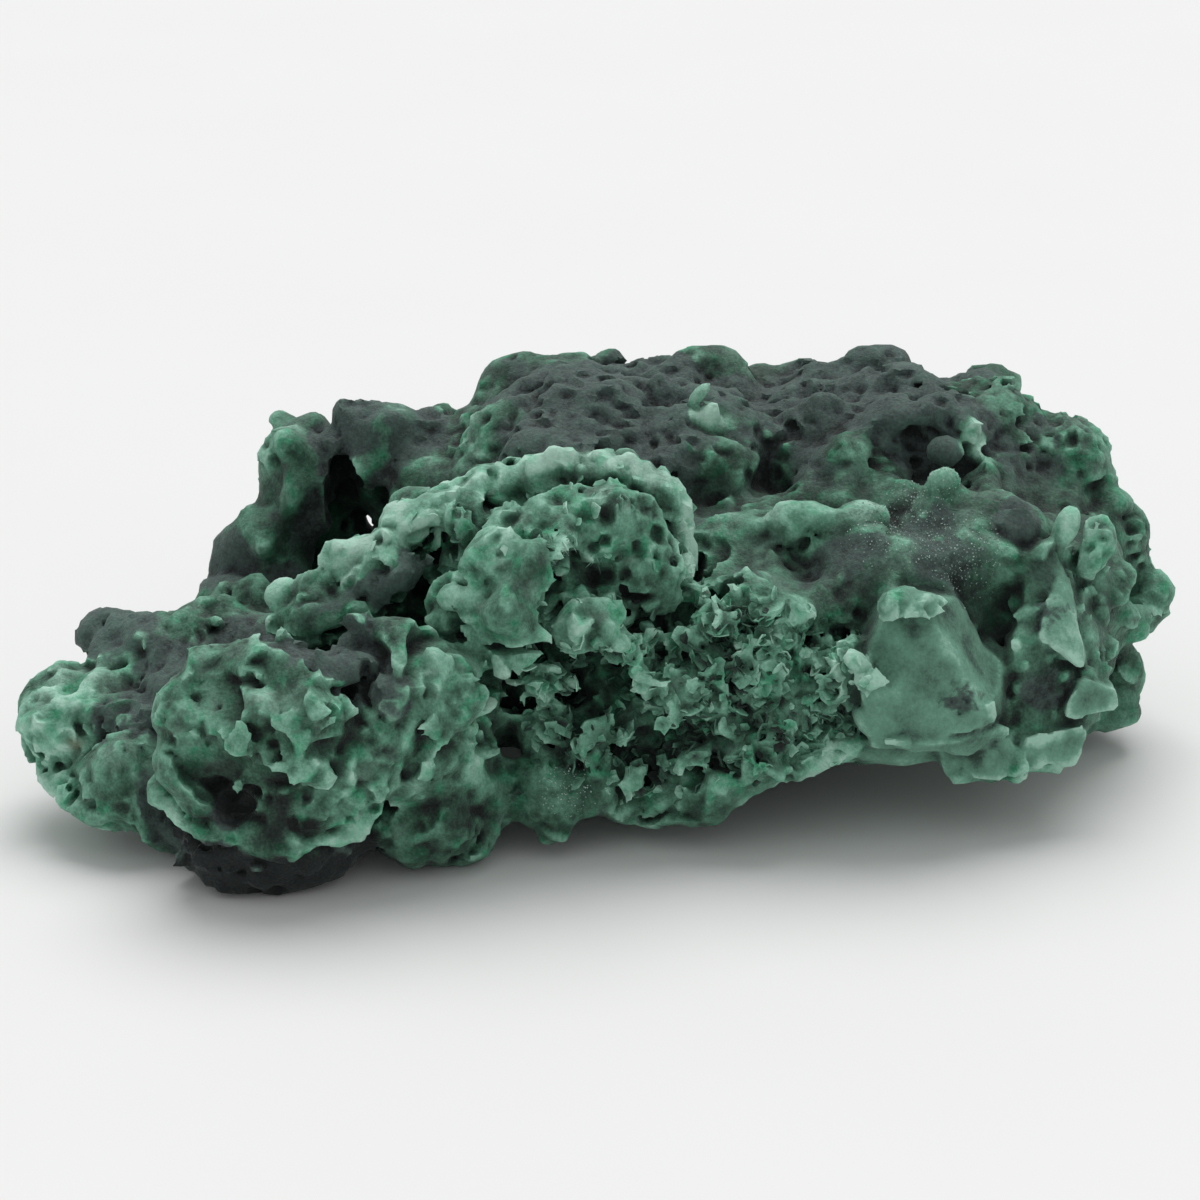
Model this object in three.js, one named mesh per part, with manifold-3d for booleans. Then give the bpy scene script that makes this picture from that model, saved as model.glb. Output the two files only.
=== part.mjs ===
// A rough hand specimen of fibrous malachite: one piece of rock, grown as overlapping rounded crusts, with
// a pocket that opens through it near one end, broken faces on its front, and a few low points that it
// stands on.
//
// Units are millimetres. X runs along the specimen, Y from its open, porous front to its back, Z up. The
// origin is on the standing surface, under the middle of the bounding box.

import * as THREE from "three";
import { ConvexGeometry } from "three/addons/geometries/ConvexGeometry.js";
import { ImprovedNoise } from "three/addons/math/ImprovedNoise.js";
import { mergeVertices } from "three/addons/utils/BufferGeometryUtils.js";
import Module from "manifold-3d";

// Driving dimensions. The tables below are drawn close to full size, and the finished rock is scaled to
// LENGTH.
const LENGTH = 120;
const FACET = 4.1; // edge length of the triangles on a lobe
const LUMPS = [
  { wave: 15, height: 5 }, // swells as wide as a finger
  { wave: 6, height: 2.4 }, // knobs between them
];
const WORN = 0.6; // depth ground off the low points, which gives each of them a small flat to stand on

const ICOSAHEDRON_FACES = 20;
const EQUILATERAL = Math.sqrt(3) / 4; // area of an equilateral triangle with unit sides
const SAME_PLACE = 1e-4; // corners closer than this are one corner

// Rounded growths, from the left end to the right: centre, half-sizes, and turns about X, Y and Z in degrees.
const LEFT_END = [
  { at: [-51, -9, 10.5], size: [10, 8, 6.5] },
  { at: [-49, -2, 14.5], size: [5.5, 4.5, 3.5], turn: [0, -20, 0] },
  { at: [-46, -19, 7], size: [8, 7.5, 6] },
  { at: [-38, -8, 13], size: [12, 11, 8] },
];

const FRONT_LOBE = [
  { at: [-32.5, -28, 17], size: [12.5, 9.5, 8], turn: [0, -10, -8] },
  { at: [-19, -25, 18.5], size: [9.5, 8.5, 8] },
  { at: [-31, -28, 7.5], size: [9, 7.5, 7.5] },
  { at: [-37, -22, 7], size: [8, 8, 7] },
  { at: [-17, -21, 8], size: [7.5, 7.5, 7] },
];

const RIDGE = [
  { at: [-26, -12, 23.5], size: [9.5, 6, 5.5], turn: [0, -30, 0] },
  { at: [-15, -10, 28], size: [11, 7, 8], turn: [0, -25, 0] },
  { at: [-1, -9.5, 29], size: [11, 7.5, 9.5] },
  { at: [-9, -18, 26.5], size: [7.5, 5.5, 7], turn: [-15, -20, 0] },
  { at: [0, -15, 21], size: [8.5, 7, 8] },
];

const CORE = [
  { at: [-18, -6, 16], size: [26, 12, 9], turn: [0, -12, 0] },
  { at: [6, 6, 20], size: [30, 19, 12] },
  { at: [34, 8, 20], size: [22, 19, 14] },
];

const ARCH = [
  { at: [-39, 10, 12], size: [7, 8, 7] },
  { at: [-35.5, 18, 17.5], size: [5.5, 6, 10], turn: [0, 22, 0] },
  { at: [-31.5, 19, 26.5], size: [4.5, 5, 5], turn: [0, 30, 0] },
  { at: [-24, 19, 31], size: [6.5, 5, 4], turn: [0, -18, 0] },
  { at: [-16.5, 16, 28.5], size: [6, 6, 5] },
  { at: [-30, 26, 20], size: [8, 3.5, 11] },
  { at: [-22, 24, 27], size: [9, 4, 6] },
  { at: [-17, 22, 13], size: [12, 7, 8] },
  { at: [-27, 12, 9], size: [9, 8, 6.5] },
];

const BACK = [
  { at: [2, 15, 30.5], size: [19, 15, 10.5] },
  { at: [-5, 24, 34], size: [7, 6, 5], turn: [0, -12, 0] },
  { at: [10, 24, 36.5], size: [8, 6, 4.5] },
  { at: [18, 26, 34], size: [7, 5, 4.5] },
  { at: [31, 17, 31], size: [18, 14, 8.5] },
  { at: [29, 25, 35], size: [8, 5, 4] },
  { at: [43, 20, 35.5], size: [6.5, 9, 5.5] },
  { at: [-2, 26, 13], size: [15, 9, 12] },
  { at: [22, 27, 18], size: [14, 8, 11] },
  { at: [18, 22, 8.5], size: [14, 8, 7] },
];

const RIGHT_END = [
  { at: [48, 13, 18], size: [10, 14, 13] },
  { at: [56.5, 12, 16], size: [6, 5.5, 4.5], turn: [0, 15, 0] },
  { at: [55, 12, 8], size: [4.5, 6, 5] },
  { at: [49.5, 16, 30.5], size: [5.5, 7, 5.5] },
  { at: [48, 12, 7], size: [8, 8.5, 7.5] },
  { at: [44, 25, 18], size: [9, 7, 10] },
];

const SHOULDER = [
  { at: [32, -4, 24], size: [13, 9.5, 8], turn: [20, 0, 0] },
  { at: [20, -2.5, 29.5], size: [3.8, 3, 2.6] },
  { at: [26, -3.5, 30], size: [4.4, 3, 2.6] },
  { at: [43.5, -4, 29], size: [3, 3, 2.7] },
  { at: [45, -1, 22], size: [8, 8.5, 8.5] },
];

const FRONT = [
  { at: [15, -12, 18], size: [15, 8.5, 9] },
  { at: [2, -15, 11.5], size: [11, 8, 7.5] },
  { at: [-4, -21.5, 10], size: [3.6, 3.5, 6.5], turn: [0, 12, 0] },
  { at: [13, -16, 10.5], size: [12, 6, 5], turn: [0, -14, 0] },
  { at: [31, -12, 16], size: [11, 8, 8] },
];

// Fresh breaks leave flat faces that meet in corners: each block is the hull of its corners.
const BROKEN_BLOCKS = [
  [
    [30, -19, 28], [34, -18, 27], [40, -21, 15.5], [38, -21.5, 13.5], [27, -22, 12], [26, -20, 19],
    [28, -10, 26], [38, -8, 24], [40, -10, 10], [27, -10, 10],
  ],
  [
    [43, -9, 29], [47, -8.5, 28], [52, -12, 15], [51, -12.5, 10.5], [42, -16, 12], [42, -15, 19],
    [44, 2, 27], [53, 0, 20], [51, 0, 10], [42, 0, 12],
  ],
  [
    [35, -17, 7.5], [47, -16, 7], [49, -14, 12], [34, -18, 12.5], [36, -4, 6], [48, -4, 6.5],
    [49, -3, 15], [34, -6, 15],
  ],
];

// Growth left these open.
const HOLLOWS = [
  { at: [-27, 17, 21.5], size: [2.6, 14, 4], turn: [-20, 0, 0] },
  { at: [-27.5, 11, 25.5], size: [4.4, 7, 4.6] },
  { at: [-18.5, -17.5, 27.5], size: [4, 5, 3], turn: [0, -25, 0] },
  { at: [33.5, 3, 36], size: [3.5, 4, 3] },
  { at: [12, -4, 34], size: [6, 5.5, 3.5] },
  { at: [-7, -1, 38], size: [9, 3, 5] },
];

const MALACHITE = new THREE.MeshStandardMaterial({ color: 0x2f5f49, roughness: 0.75, metalness: 0 });

const wasm = await Module();
wasm.setup();
const noise = new ImprovedNoise();

// Height of the growth's own swells and knobs at a place.
function lumpHeight(place) {
  let height = 0;
  for (const { wave, height: swell } of LUMPS) {
    height += swell * noise.noise(place.x / wave, place.y / wave, place.z / wave);
  }
  return height;
}

// A closed three.js geometry as a solid that can be joined and cut.
function solidFrom(geometry) {
  const bare = geometry.clone();
  bare.deleteAttribute("normal");
  bare.deleteAttribute("uv");
  const merged = mergeVertices(bare, SAME_PLACE);
  const mesh = new wasm.Mesh({
    numProp: 3,
    vertProperties: merged.attributes.position.array,
    triVerts: new Uint32Array(merged.index.array),
  });
  return new wasm.Manifold(mesh);
}

// Enough triangles for the lobe's area, from FACET.
function lobeDetail([a, b, c]) {
  const radiusSquared = (a * b + b * c + c * a) / 3;
  const triangles = (4 * Math.PI * radiusSquared) / (EQUILATERAL * FACET * FACET);
  return Math.max(1, Math.round(Math.sqrt(triangles / ICOSAHEDRON_FACES)) - 1);
}

// One rounded growth: an ellipsoid whose surface swells by lumpHeight.
function lobe({ at, size, turn = [0, 0, 0] }) {
  const shape = new THREE.IcosahedronGeometry(1, lobeDetail(size));
  const angles = new THREE.Euler(...turn.map(THREE.MathUtils.degToRad));
  const turned = new THREE.Quaternion().setFromEuler(angles);
  const centre = new THREE.Vector3(...at);
  const place = new THREE.Matrix4().compose(centre, turned, new THREE.Vector3(...size));
  shape.applyMatrix4(place);
  const corners = shape.attributes.position;
  const corner = new THREE.Vector3();
  for (let i = 0; i < corners.count; i++) {
    corner.fromBufferAttribute(corners, i);
    const outward = corner.clone().sub(centre).normalize();
    corner.addScaledVector(outward, lumpHeight(corner));
    corners.setXYZ(i, corner.x, corner.y, corner.z);
  }
  return solidFrom(shape);
}

// One freshly broken block, flat on every side.
function brokenBlock(corners) {
  return solidFrom(new ConvexGeometry(corners.map((corner) => new THREE.Vector3(...corner))));
}

// Everything below the height that the low points are ground off at.
function standingSurface(height) {
  const side = 2 * LENGTH; // wider than the rock
  const ground = new THREE.BoxGeometry(side, side, side);
  ground.translate(0, 0, height - side / 2);
  return solidFrom(ground);
}

// The rock without the bubbles that rounded growths can seal between them.
function outerBody(solid) {
  return solid.decompose().reduce((largest, body) => (body.volume() > largest.volume() ? body : largest));
}

// The joined rock as one geometry, scaled to LENGTH and moved so that its base is centred on the origin.
function finished(solid) {
  const mesh = solid.getMesh();
  const geometry = new THREE.BufferGeometry();
  geometry.setAttribute("position", new THREE.BufferAttribute(mesh.vertProperties, 3));
  geometry.setIndex(new THREE.BufferAttribute(mesh.triVerts, 1));
  geometry.computeBoundingBox();
  const { min, max } = geometry.boundingBox;
  geometry.translate(-(min.x + max.x) / 2, -(min.y + max.y) / 2, -min.z);
  const scale = LENGTH / (max.x - min.x);
  geometry.scale(scale, scale, scale);
  geometry.computeVertexNormals();
  return geometry;
}

const growths = [LEFT_END, FRONT_LOBE, RIDGE, CORE, ARCH, BACK, RIGHT_END, SHOULDER, FRONT].flat().map(lobe);
let rock = growths.concat(BROKEN_BLOCKS.map(brokenBlock)).reduce((joined, piece) => joined.add(piece));
for (const hollow of HOLLOWS) {
  rock = rock.subtract(lobe(hollow));
}
rock = rock.subtract(standingSurface(WORN));

const specimen = new THREE.Mesh(finished(outerBody(rock)), MALACHITE);
specimen.name = "malachite";

const group = new THREE.Group();
group.add(specimen);
export default group;
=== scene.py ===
# %% [markdown]
# # A rough specimen of fibrous malachite
#
# Malachite grows in crusts. Copper-rich water leaves it layer on layer, so the stone is lumpy on the outside,
# spongy where the layers never closed, and flat where a hammer has opened it. This lesson starts from the
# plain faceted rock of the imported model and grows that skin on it.

# %% Load the fixed frame
import math

import bmesh
import bpy
import numpy as np
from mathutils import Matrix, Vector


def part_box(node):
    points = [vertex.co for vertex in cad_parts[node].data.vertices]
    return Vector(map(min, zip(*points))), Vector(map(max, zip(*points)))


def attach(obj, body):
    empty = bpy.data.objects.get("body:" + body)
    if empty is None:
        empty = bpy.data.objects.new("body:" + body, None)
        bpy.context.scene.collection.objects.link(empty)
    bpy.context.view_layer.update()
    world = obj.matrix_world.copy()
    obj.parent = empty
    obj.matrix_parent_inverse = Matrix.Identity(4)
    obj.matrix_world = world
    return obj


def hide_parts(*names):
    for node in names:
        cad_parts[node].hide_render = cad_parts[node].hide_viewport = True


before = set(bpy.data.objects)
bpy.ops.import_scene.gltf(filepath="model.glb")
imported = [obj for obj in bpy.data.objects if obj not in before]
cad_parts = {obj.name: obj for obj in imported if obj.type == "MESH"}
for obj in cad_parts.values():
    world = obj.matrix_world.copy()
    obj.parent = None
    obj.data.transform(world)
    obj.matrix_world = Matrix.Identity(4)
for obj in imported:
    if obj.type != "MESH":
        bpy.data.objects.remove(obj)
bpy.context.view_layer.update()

import openvdb as vdb
from mathutils import Vector

low, high = (np.array(end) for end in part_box("malachite"))
LENGTH = 120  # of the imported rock, in mm
MM = float(high[0] - low[0]) / LENGTH  # one millimetre in the scene's units
print("the rock is", np.round((high - low) / MM, 1), "mm")

# %% [markdown]
# ## Why a block of cells
#
# Overhanging crusts, pores and a froth of thin walls can't be pushed out of a surface along its normals:
# the faces would cross. So the rock is held as a distance field: a block of small cells, each with its
# distance to the surface, negative inside. Growing, cutting and joining are then sums, maxima and minima of
# whole arrays, and whatever comes out is still one closed skin.

# %% Lay out the cells
CELL = 0.4  # mm
MARGIN = 3.2  # mm of empty cells around the rock
corner = low / MM - MARGIN
span = (high - low) / MM + 2 * MARGIN
counts = np.ceil(span / CELL).astype(int) + 1
x, y, z = np.ogrid[tuple(slice(0, count) for count in counts)]
x = (corner[0] + CELL * x).astype(np.float32)
y = (corner[1] + CELL * y).astype(np.float32)
z = (corner[2] + CELL * z).astype(np.float32)
print("block of", counts, "cells of", CELL, "mm")

# %% [markdown]
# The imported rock's mesh is loose triangles, so a copy of it is merged before OpenVDB measures the distances.

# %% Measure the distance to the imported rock
REACH = 7.0  # mm, how far from the surface distances are measured
SAME_PLACE = 0.002  # mm, corners closer than this are one corner


def merged_faces(node):
    """A node's corners and triangles, joined up."""
    body = bmesh.new()
    body.from_mesh(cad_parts[node].data)
    bmesh.ops.remove_doubles(body, verts=body.verts, dist=SAME_PLACE * MM)
    bmesh.ops.triangulate(body, faces=body.faces)
    corners = np.array([vert.co[:] for vert in body.verts])
    faces = np.array([[vert.index for vert in face.verts] for face in body.faces], np.uint32)
    body.free()
    return corners, faces


def distances(corners, faces):
    """The block of distances to a closed mesh, in mm."""
    grid = vdb.FloatGrid.createLevelSetFromPolygons(
        (corners / MM - corner).astype(np.float32),
        triangles=faces,
        transform=vdb.createLinearTransform(voxelSize=CELL),
        halfWidth=REACH / CELL,
    )
    block = np.zeros(counts, np.float32)
    grid.copyToArray(block)
    return block


packed = distances(*merged_faces("malachite"))
print("solid share of the block:", round(float((packed < 0).mean()), 3))

# %% [markdown]
# ## Three tools for working on a block
#
# Blurring, and noise of one chosen size, are both done one axis at a time with a small matrix. That is
# thousands of times less work than visiting every neighbour of every cell.

# %% Blur and noise
LEAST_WEIGHT = 0.001  # weights below this are dropped from a blur
STEPS_PER_BUMP = 2.5  # how finely the lattice of the noise is laid out


def along(matrix, block, axis):
    """The block multiplied by a matrix along one axis."""
    turned = np.tensordot(matrix.astype(np.float32), block, (1, axis))
    return np.ascontiguousarray(np.moveaxis(turned, 0, axis))


def softened(block, reach):
    """The block blurred over about `reach` mm."""
    for axis, count in enumerate(block.shape):
        steps = CELL * np.arange(count)
        weights = np.exp(-0.5 * ((steps[:, None] - steps) / reach) ** 2)
        weights[weights < LEAST_WEIGHT] = 0
        block = along(weights / weights.sum(1, keepdims=True), block, axis)
    return block


def spline(distance):
    """The cubic B-spline: how much a lattice point counts at that many lattice steps away."""
    inner = 2 / 3 - distance**2 + distance**3 / 2
    outer = np.maximum(2 - distance, 0) ** 3 / 6
    return np.where(distance < 1, inner, outer)


def swell(size, seed):
    """Smooth noise with a spread of 1, its bumps about `size` mm apart."""
    step = size / STEPS_PER_BUMP
    lattice = np.ceil(span / step).astype(int) + 4
    block = np.random.default_rng(seed).standard_normal(lattice).astype(np.float32)
    for axis, places in enumerate((x, y, z)):
        steps = (places.ravel() - corner[axis]) / step + 1.5
        block = along(spline(np.abs(steps[:, None] - np.arange(lattice[axis]))), block, axis)
    return block / block.std()


# %% [markdown]
# Every crust of the rock has its own character, so each step below works in a zone: a soft-edged egg shape,
# bent by noise so that no edge of it reads as an ellipse.

# %% How a zone is made
wander = swell(9, 1)
WANDER = 0.12  # how far a zone's edge wanders, as a share of its size


def zone(centre, reach, edge=0.3):
    """1 inside an ellipsoid, 0 outside, with a soft and wandering edge."""
    squares = [((places - middle) / size) ** 2 for places, middle, size in zip((x, y, z), centre, reach)]
    far = np.sqrt(squares[0] + squares[1] + squares[2]) + WANDER * wander
    share = np.clip((1 + edge - far) / (2 * edge), 0, 1)
    return share * share * (3 - 2 * share)


print("the zones' edges wander by up to", round(WANDER * float(np.abs(wander).max()), 2))

# %% [markdown]
# The crown at the back, in two parts, is pitted charcoal velvet, and so are the trough behind the thin end,
# the knobs beside it, and the foot. The ridge, the front lobe and the thin end are crust. The froth and the
# pockets are open growth. Two breaks at the deep end show the solid stone, with gravelly crust around the
# right-hand one.

# %% Zones
dome = zone((1, 16, 33.5), (20, 15, 9))
far_crown = zone((29, 18, 35), (19, 16, 8))
ridge = zone((-7, -12, 27), (19, 9, 11))
front_lobe = zone((-26, -26, 16.5), (18, 11, 9))
left_end = zone((-49, -9, 9.5), (12, 14, 10))
trough = zone((-38, -13, 15), (10, 9, 7))
arch = zone((-29, 20, 25), (13, 12, 13))
bowl = zone((14, -3, 29), (8, 6, 6))
froth = zone((16, -17, 16.5), (12, 9, 8.5))
pockets = zone((2, -18, 15), (11, 8, 9))
break_left = zone((33, -18, 18), (9, 8, 12), 0.15)
break_right = zone((47, -10, 18), (8, 10, 14), 0.15)
right_end = zone((53, 14, 18), (11, 20, 16))
foot = zone((-33, -26, 2), (12, 11, 7))
knob = zone((-50, -3, 17.5), (6, 5, 3.5))
fresh = np.maximum(break_left, 0.35 * break_right)
gravel = np.maximum(zone((47, -9, 19), (8, 9, 11)), zone((42, -14, 9), (8, 5, 3)))
velvet = np.maximum.reduce([dome, 0.9 * far_crown, 0.9 * trough, 0.9 * foot, knob])
print("velvet on", round(float(velvet[np.abs(packed) < CELL].mean()), 2), "of the surface")

# %% [markdown]
# ## Melt the lobes together, then roughen them
#
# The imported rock's lobes meet in plain creases. Blurring its distances melts them into one growth. On top
# comes relief of several kinds. Noise folded at zero, `abs(noise)`, has sharp valleys between round bumps,
# which is how grape-like crusts look. Turned upside down it has sharp crests between round hollows, which
# is how scalloped crusts look. Noise cut into whole steps looks like broken plates. The charcoal crown gets
# dents, and the trough gets the fine folds of a fibrous skin. Fresh breaks stay flat and sharp.

# %% Melt the lobes
MELTED = 0.9  # mm, how far the lobes run into each other
rock = softened(packed, MELTED)
rock += fresh * (packed - rock)

broad = swell(6.5, 11)
middle = swell(3.4, 12)
fine = swell(1.9, 13)
finest = swell(1.2, 14)
moved = round(float(np.abs(rock - packed)[np.abs(packed) < CELL].mean()), 2)
print("melting moved the surface by", moved, "mm on average")

# %% [markdown]
# Each zone gets its own recipe of relief, and the recipes are added up by how much of each zone a place is
# in. Grapes cover the back and the right end, plates cover the open front, and pillows are in between.

# %% Relief
RISER = 0.16  # the share of a step that its riser takes
PLATE = 0.75  # mm, the height of a step


def stairs(height):
    """Whole steps joined by steep risers."""
    whole = np.floor(height)
    rise = np.clip((height - whole - 0.5) / RISER + 0.5, 0, 1)
    return whole + rise * rise * (3 - 2 * rise) - 0.5


grapes = np.maximum.reduce([right_end, 0.8 * arch, zone((10, 30, 20), (40, 16, 18))])
crusted = np.maximum.reduce([ridge, front_lobe, left_end, froth, pockets])
plated = crusted * np.clip(1 - grapes - velvet - fresh, 0, 1)
pillowy = (1 - plated) * (1 - fresh)
plates = PLATE * stairs(0.9 * broad + 0.12 * fine)
dents = np.clip(swell(1.8, 31) - 0.3, 0, 1.5)
folds = np.sin((x - 0.45 * y) * 4.2 + 1.3 * broad + 0.5 * middle)
relief = (
    plated * ((1 - 0.85 * front_lobe) * plates + 0.45 * broad - 0.35 * np.abs(fine) + 0.1)
    + front_lobe * (0.3 * np.abs(middle) + 0.14 * finest - 0.15)
    + pillowy * (0.55 * broad + 0.18 * np.abs(middle) - 0.15 * np.abs(fine))
    + grapes * (0.7 * np.abs(broad) - 0.12 * np.abs(middle) - 0.3)
    + np.maximum(dome, far_crown) * (0.12 * fine - 0.5 * dents)
    + trough * 0.22 * folds
    + foot * (0.4 * np.abs(middle) - 0.2)
)
relief *= 1 - 0.9 * fresh
print("plated share of the surface:", round(float(plated[np.abs(packed) < CELL].mean()), 2))

# %% [markdown]
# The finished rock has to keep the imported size, and to stand on the same low points. So outward relief
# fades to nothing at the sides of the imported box, and the floor cuts off whatever would reach below it.

# %% Keep the size
STANDING = 1.5  # mm above the floor, below which the worn points stay as they are
sides = [places - bound / MM for places, bound in zip((x, y, z), low)]
sides += [bound / MM - places for places, bound in zip((x, y, z), high)]
room = sides[0]
for side in sides[1:]:
    room = np.minimum(room, side)
standing = np.clip(1 - z / STANDING, 0, 1)
relief = np.minimum(relief, 0.6 * np.clip(room, 0, None) + 0.05)
relief *= 1 - 0.9 * standing
outer = rock - relief
print("relief from", round(float(relief.min()), 1), "to", round(float(relief.max()), 1), "mm")

# %% [markdown]
# ## Froth and overhanging crust
#
# Where the growth stayed open there are three layers: a thin outer crust with holes in it, a froth of thin
# walls under it, and the solid core. Each is its own field, and the rock is whatever belongs to any of
# them. A wall is where noise is close to zero, so it is a thin sheet that never ends in the air.

# %% Hollow the open growth
DEEPEST = 5.0  # mm from the outer crust to the solid core
CRUST = 0.9  # mm, the outer crust's thickness
LARGE_WALL, SMALL_WALL = 0.26, 0.34  # how close to zero the noise is inside a wall
openness = np.maximum.reduce([froth, pockets, 0.32 * ridge])
openness *= np.clip(1 - 1.4 * velvet - 1.2 * fresh, 0, 1)
depth = DEEPEST * openness

cells_noise = swell(3.6, 22)
small_noise = swell(1.9, 23)
wall_large = (np.abs(cells_noise) - LARGE_WALL) * 1.3
wall_small = (np.abs(small_noise) - SMALL_WALL) * 0.75
walls = np.minimum(wall_large, wall_small + 1.2 * (1 - froth))

holes = 0.85 * swell(4.6, 24) + 0.5 * small_noise
closed = 3.0 - 3.6 * froth - 2.4 * pockets - 0.7 * ridge
crust = np.maximum(-(outer + CRUST), (holes - closed) * 1.3)

core = outer + depth
shape = np.minimum(core, np.maximum(outer, np.minimum(walls, crust)))
shape = np.where(openness > 0.02, shape, outer)
print("hollowed", round(float((openness > 0.5).mean() * np.prod(span) / 1000), 1), "cm3 of open growth")

# %% [markdown]
# ## Stamps: chips, crumbs, leaves, beads, blocks and pits
#
# What is left is made of separate small things, hundreds of them: flat chips knocked off the crust, angular
# crumbs stuck to it, thin leaves of it that stand proud with a ragged edge, round beads, blocks where it
# split, and pits in the velvet. Each is a simple shape worked into the block in a small window of cells
# around it, with a maximum to cut and a minimum to add.

# %% Where to stamp
rng = np.random.default_rng(5)
smooth_shape = softened(shape, 1.0)
ON_SKIN = 0.6 * CELL  # a cell this close to the surface is on it


def surface_points(mask, count):
    """Random places of the surface inside a zone, in mm, and the directions that face out of it there."""
    spots = np.argwhere((np.abs(shape) < ON_SKIN) & (mask > 0.5))
    spots = spots[(spots > 3).all(1) & (spots < counts - 4).all(1)]
    picked = spots[rng.choice(len(spots), min(count, len(spots)), replace=False)]
    slopes = np.zeros((len(picked), 3))
    for axis in range(3):
        step = np.zeros(3, int)
        step[axis] = 2
        slopes[:, axis] = smooth_shape[tuple((picked + step).T)] - smooth_shape[tuple((picked - step).T)]
    facing = slopes / np.maximum(np.linalg.norm(slopes, axis=1, keepdims=True), 0.01)
    return zip(corner + CELL * picked, facing)


def window(centre, reach):
    """The slices of the block that hold all cells within `reach` mm of a place."""
    start = np.maximum(((centre - reach - corner) / CELL).astype(int), 0)
    stop = np.minimum(((centre + reach - corner) / CELL).astype(int) + 2, counts)
    return tuple(slice(a, b) for a, b in zip(start, stop))


def offsets(centre, cells):
    """How far the cells of a window are from a place, along each axis."""
    return x[cells[0]] - centre[0], y[:, cells[1]] - centre[1], z[:, :, cells[2]] - centre[2]


def tilted(facing, lean, spread):
    """A direction near `facing`, leaning along the vector `lean`, with a random part."""
    direction = facing + lean + spread * rng.standard_normal(3)
    return direction / np.linalg.norm(direction)


# %% [markdown]
# Two shapes joined by a plain minimum meet in a hard crease. Real growths run into what they grow on, so
# `melt` fills the crease with a fillet.

# %% The stamps
def pit(centre, radii):
    """A hollow with a rough outline."""
    cells = window(centre, max(radii) + 1)
    away = [offset / radius for offset, radius in zip(offsets(centre, cells), radii)]
    inside = (np.sqrt(away[0] ** 2 + away[1] ** 2 + away[2] ** 2) - 1) * min(radii)
    inside += 0.16 * min(1.5, *radii) * fine[cells]
    shape[cells] = np.maximum(shape[cells], -inside)


def melt(cells, found, blend):
    """Joins a shape to the rock, with a fillet about `blend` mm wide."""
    share = np.clip(0.5 + (shape[cells] - found) / blend, 0, 1)
    shape[cells] += share * (found - shape[cells]) - 0.5 * blend * share * (1 - share)


def egg(centre, radii, lean=0.0, blend=1.2, lumpy=1.0):
    """A rounded growth, leaning `lean` degrees up to the right, melted into what it sits on."""
    centre = np.array(centre, float)
    cells = window(centre, max(radii) + 2)
    right, back, up = offsets(centre, cells)
    turn = math.radians(lean)
    length = (right * math.cos(turn) + up * math.sin(turn)) / radii[0]
    height = (up * math.cos(turn) - right * math.sin(turn)) / radii[2]
    found = (np.sqrt(length**2 + (back / radii[1]) ** 2 + height**2) - 1) * min(radii)
    found += lumpy * min(2.2, *radii) * (0.13 * middle[cells] + 0.2 * np.abs(fine[cells]) - 0.1)
    melt(cells, found, blend)


def leaf(centre, normal, radius, thickness, ragged=1.0):
    """A thin sheet across `normal`, its outline made ragged by noise."""
    cells = window(centre, radius + 1.5)
    away = offsets(centre, cells)
    height = away[0] * normal[0] + away[1] * normal[1] + away[2] * normal[2]
    across = np.sqrt(np.maximum(away[0] ** 2 + away[1] ** 2 + away[2] ** 2 - height**2, 0))
    wave = 0.3 * middle[cells]
    edge = across - radius + ragged * (0.26 * fine[cells] + 0.12 * finest[cells])
    found = np.maximum(np.abs(height + wave) - thickness / 2, edge)
    shape[cells] = np.minimum(shape[cells], found)


def chip(centre, normal, radius, depth):
    """Cuts off what stands above a plane, out to `radius`."""
    centre = np.array(centre, float)
    normal = np.array(normal, float) / np.linalg.norm(normal)
    cells = window(centre, radius + 1)
    away = offsets(centre, cells)
    height = away[0] * normal[0] + away[1] * normal[1] + away[2] * normal[2] + depth
    across = np.sqrt(away[0] ** 2 + away[1] ** 2 + away[2] ** 2)
    cut = np.minimum(height, 0.4 * (radius - across))
    shape[cells] = np.maximum(shape[cells], cut)


def flat_sided(corners, centre, cells):
    """How far cells are outside the hull of some corners."""
    hull = bmesh.new()
    for place in corners:
        hull.verts.new(place)
    bmesh.ops.convex_hull(hull, input=hull.verts)
    bmesh.ops.recalc_face_normals(hull, faces=hull.faces)
    away = offsets(centre, cells)
    found = np.full(shape[cells].shape, -9.0, np.float32)
    for face in hull.faces:
        normal = face.normal
        height = away[0] * normal[0] + away[1] * normal[1] + away[2] * normal[2]
        found = np.maximum(found, height - float(face.verts[0].co.dot(normal)))
    hull.free()
    return found


def block_of(corners):
    """A broken block, flat on every side."""
    corners = np.array(corners, float)
    heart = corners.mean(0)
    cells = window(heart, np.abs(corners - heart).max() + 1)
    found = flat_sided(corners, np.zeros(3), cells) + 0.14 * broad[cells] + 0.1 * fine[cells]
    melt(cells, found, 0.7)
    fresh[cells] = np.maximum(fresh[cells], np.clip(1 - found / 0.6, 0, 1))


def crumb(centre, reach):
    """An angular lump with a dozen or so flat sides."""
    corners = rng.standard_normal((10, 3))
    corners *= reach / np.linalg.norm(corners, axis=1, keepdims=True)
    cells = window(centre, reach + 1)
    melt(cells, flat_sided(corners, centre, cells) + 0.1 * fine[cells], 0.5)


def paint(block, centre, reach, amount):
    """Adds a soft-edged spot to a block of shares or tones."""
    cells = window(np.array(centre, float), 1.6 * reach)
    away = offsets(centre, cells)
    far = np.sqrt(away[0] ** 2 + away[1] ** 2 + away[2] ** 2) / reach + 0.15 * middle[cells]
    share = np.clip(1.3 - far, 0, 0.6) / 0.6
    block[cells] += amount * share * share * (3 - 2 * share)


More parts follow.
